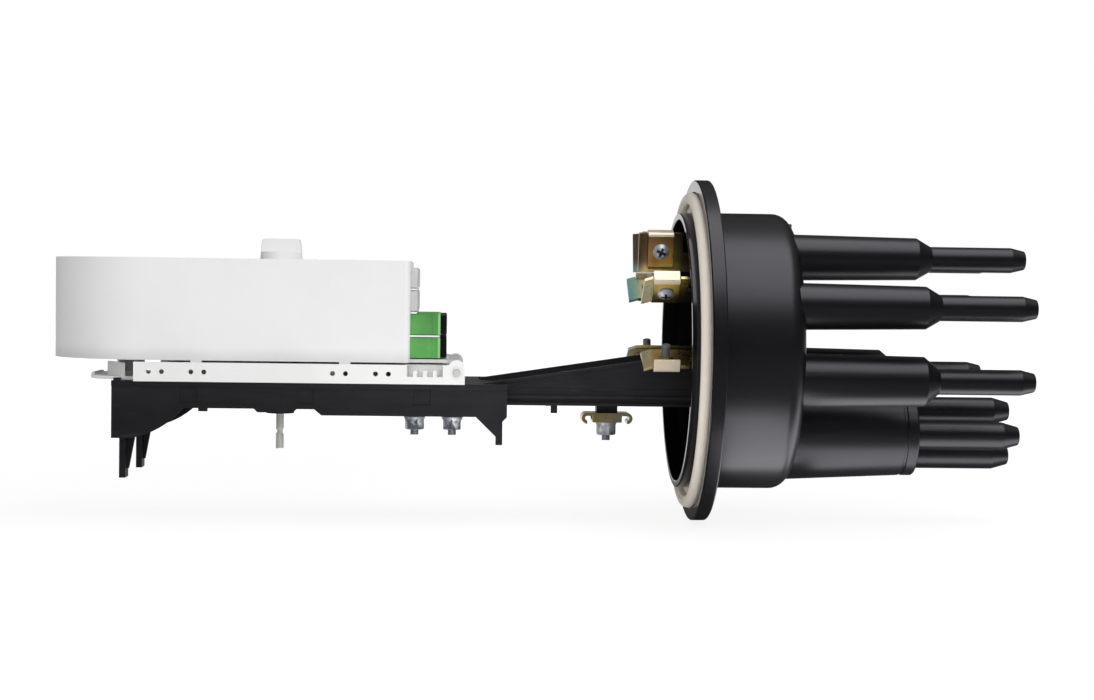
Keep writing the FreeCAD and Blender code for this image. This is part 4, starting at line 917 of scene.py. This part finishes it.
def placedSeat(matrix, point, way):
    return matrix @ Vector(point), (matrix.to_3x3() @ Vector(way)).normalized()


def makeScrews():
    seats = {}

    def add(node, place, aim, length):
        seats.setdefault(node, []).append((Vector(place), Vector(aim), length))

    clampShank = clamp["saddle"] + clamp["strip"] + clamp["collar"] + clamp["tail"]
    clampSeat = (clamp["screwX"], -clamp["saddle"], clamp["screwOffset"])
    footSeat = (base["floor"] - clamp["strip"], clamp["footIn"], clamp["footOff"])
    for kind in clampPlaces:
        for side in ("near", "far"):
            local = clampFrame(kind, side)
            add("clamp_screws", *placedSeat(local, clampSeat, (0, -1, 0)), clampShank)
            add("strip_foot_screws", *placedSeat(local, footSeat, (-1, 0, 0)), clamp["strip"] + clamp["footDeep"])
    head, height = screw["head"], screw["height"]
    low, high = boxOf("chassis_root_screws")
    for y in (low[1] + head, high[1] - head):
        add("chassis_root_screws", (low[0] + height, y, (low[2] + high[2]) / 2), (-1, 0, 0), high[0] - low[0] - height)
    low, high = boxOf("tray_bolts")
    top = high[2] - height
    for x, seat in ((low[0] + head, top), (high[0] - head, top - screw["boltStep"])):
        add("tray_bolts", (x, 0, seat), (0, 0, 1), seat - low[2])
    low, high = boxOf("under_clamp_bolt")
    seat = high[2] - height
    add("under_clamp_bolt", ((low[0] + high[0]) / 2, 0, seat), (0, 0, 1), seat - low[2])

    prototype = panHead()
    for node, places in seats.items():
        points = seatMesh(node, [(place, aim) for place, aim, length in places])
        tops = grown(node + "Heads", points, piecesOnSeats,
                     {"Prototype": prototype, "Spin": math.pi / 2, "Material": screwZinc})
        rods = rodMesh(node, [(place, place - aim * length) for place, aim, length in places])
        shanks = grown(node + "Shanks", rods, threadedRods,
                       {"Radius": screw["shank"] * mm, "Pitch": screw["pitch"] * mm, "Depth": screw["depth"] * mm,
                        "Material": threadZinc})
        seated(joined(node + "Cut", [tops, shaded(shanks, threadAngle)]), "bright_zinc", node)
    discard(prototype)


def makeNuts():
    prototype = flangeNut()
    for node, count in nutCounts.items():
        low, high = boxOf(node)
        ends = sorted((low[0] + nut["flange"], high[0] - nut["flange"]))
        seats = [((x, 0, high[2]), (0, 0, 1)) for x in ends[:count]]
        piece = grown(node + "Cut", seatMesh(node, seats), piecesOnSeats,
                      {"Prototype": prototype, "Spin": math.pi / 3, "Material": screwZinc})
        seated(piece, "bright_zinc", node)
    discard(prototype)


makeScrews()
makeNuts()
print("screws and nuts made")

# Studio: pale floor, soft box overhead, light tables under the object, bright strip low behind it, dim room round it

studio = {"floor": (0.22, 0.22, 0.22), "floorSize": 8.0, "floorDrop": 0.0005, "floorRough": 0.9, "floorShine": 0.1,
          "glowNear": (0.86, 0.86, 0.86), "glowFar": (1, 1, 1), "glowReach": (0.35, 0.9), "bounce": 0.5,
          "sheenFrom": (0.10, 0.40), "dim": 0.03, "ceiling": 0.14, "ceilingFrom": (0.25, 0.85),
          "stripBack": (0.55, 0.95), "stripLeft": (-0.55, -0.35), "stripTop": (0.06, 0.22), "corner": 0.6,
          "cornerLeft": (-0.9, -0.6), "cornerBack": (0.0, 0.4), "around": 1.4, "front": 1.6, "back": 0.8,
          "sidesFrom": (0.2, 0.9), "above": 0.15, "aboveFrom": (0.15, 0.7), "left": 0.8, "right": 0.4,
          "endsFrom": (0.1, 0.9)}
lamps = {"overhead": {"place": (0.27, -0.45, 0.95), "aim": (0, 0, -1), "size": (0.75, 1.36), "power": 6.28},
         "mouth": {"place": (-0.105, -0.075, -0.0795), "aim": (0, 0, 1), "size": (0.09, 0.07), "power": 0.04,
                   "seen": False},
         "drumTable": {"place": (0.035, -0.0655, -0.0795), "aim": (0, 0, 1), "size": (0.042, 0.081), "power": 0.0285,
                       "seen": False},
         "portTable": {"place": (0.147, -0.038, -0.0795), "aim": (0, 0, 1), "size": (0.17, 0.056), "power": 0.065,
                       "seen": False}}
view = {"place": (-0.1158, -0.9419, 0.0308), "target": (-0.06747, 0, -0.00077), "focal": 2018, "frameWide": 1094,
        "sensor": 36, "roll": 0.8, "clipStart": 0.01}


def makeFloor():  # its glow whitens it for the camera, mirrors behind the object and bounces; the shadow stays
    low = cadBox[0][2] - studio["floorDrop"]
    bm = bmesh.new()
    bmesh.ops.create_grid(bm, x_segments=1, y_segments=1, size=studio["floorSize"] / 2)
    bmesh.ops.translate(bm, verts=bm.verts, vec=(0, 0, low))
    material, shader, place = startMaterial("floorPale")
    material.cycles.emission_sampling = "NONE"
    shader.inputs["Base Color"].default_value = (*studio["floor"], 1)
    shader.inputs["Roughness"].default_value = studio["floorRough"]
    shader.inputs["Specular IOR Level"].default_value = studio["floorShine"]
    far = place.node("ShaderNodeVectorMath", {0: place}, out="Value", operation="LENGTH")
    white = far.spread(*studio["glowReach"]).blend(studio["glowNear"], studio["glowFar"])
    seen = place.node("ShaderNodeLightPath", out="Is Camera Ray")
    sheen = seen.other("Is Glossy Ray") * place.axes()[1].spread(*studio["sheenFrom"])
    bounce = studio["bounce"] * seen.other("Is Diffuse Ray")
    glow = place.node("ShaderNodeEmission", {"Color": white, "Strength": seen + sheen + bounce})
    both = place.node("ShaderNodeAddShader", {0: Wire(place.tree, shader.outputs[0]), 1: glow})
    both.into(material.node_tree.nodes["Material Output"], "Surface")
    fromBmesh("floor", bm, material)


def makeWorld():  # white for the camera; reflections see a bright strip low at the back, other rays an even glow
    world = bpy.data.worlds.new("studio")
    bpy.context.scene.world = world
    world.use_nodes = True
    world.cycles.sampling_method = "NONE"
    wire = Wire(world.node_tree)
    background = world.node_tree.nodes["Background"]
    x, y, z = wire.node("ShaderNodeTexCoord", out="Generated").axes()

    def rise(value, key):  # 0..1 over one of the studio's ranges
        return value.spread(*studio[key])

    corner = studio["corner"] * (1 - rise(x, "cornerLeft")) * rise(y, "cornerBack")
    behind = rise(y, "stripBack") * rise(x, "stripLeft") + corner
    strip = (1 - studio["dim"]) * behind * (1 - rise(z, "stripTop"))
    room = studio["dim"] + strip + studio["ceiling"] * rise(z, "ceilingFrom")
    side = studio["around"] + studio["front"] * rise(0 - y, "sidesFrom") + studio["back"] * rise(y, "sidesFrom")
    soft = side + (studio["above"] - side) * rise(z, "aboveFrom")
    soft = soft * (1 - studio["left"] * rise(0 - x, "endsFrom")) * (1 - studio["right"] * rise(x, "endsFrom"))
    seen = wire.node("ShaderNodeLightPath", out="Is Camera Ray")
    mirrored = seen.other("Is Glossy Ray")
    lit = mirrored * room + (1 - mirrored) * soft
    (seen + (1 - seen) * lit).into(background, "Strength")
    background.inputs["Color"].default_value = (1, 1, 1, 1)


def softBox(name, place, aim, size, power, seen=True):
    light = bpy.data.lights.new(name, "AREA")
    light.shape = "RECTANGLE"
    light.size, light.size_y = size
    light.energy = power
    lamp = newObject(name, light)
    lamp.location = place
    lamp.visible_camera = seen
    lamp.rotation_euler = Vector(aim).to_track_quat("-Z", "Y").to_euler()


def makeCamera():
    camera = bpy.data.cameras.new("camera")
    camera.lens = view["focal"] / view["frameWide"] * view["sensor"]
    camera.sensor_width = view["sensor"]
    camera.clip_start = view["clipStart"]
    stand = newObject("camera", camera)
    stand.location = view["place"]
    look = (Vector(view["target"]) - Vector(view["place"])).to_track_quat("-Z", "Y").to_matrix()
    stand.rotation_euler = (look @ Matrix.Rotation(math.radians(view["roll"]), 3, "Z")).to_euler()
    bpy.context.scene.camera = stand


makeFloor()
makeWorld()
for name, lamp in lamps.items():
    softBox(name, **lamp)
makeCamera()
bpy.context.scene.view_settings.view_transform = "Standard"
print("studio made")
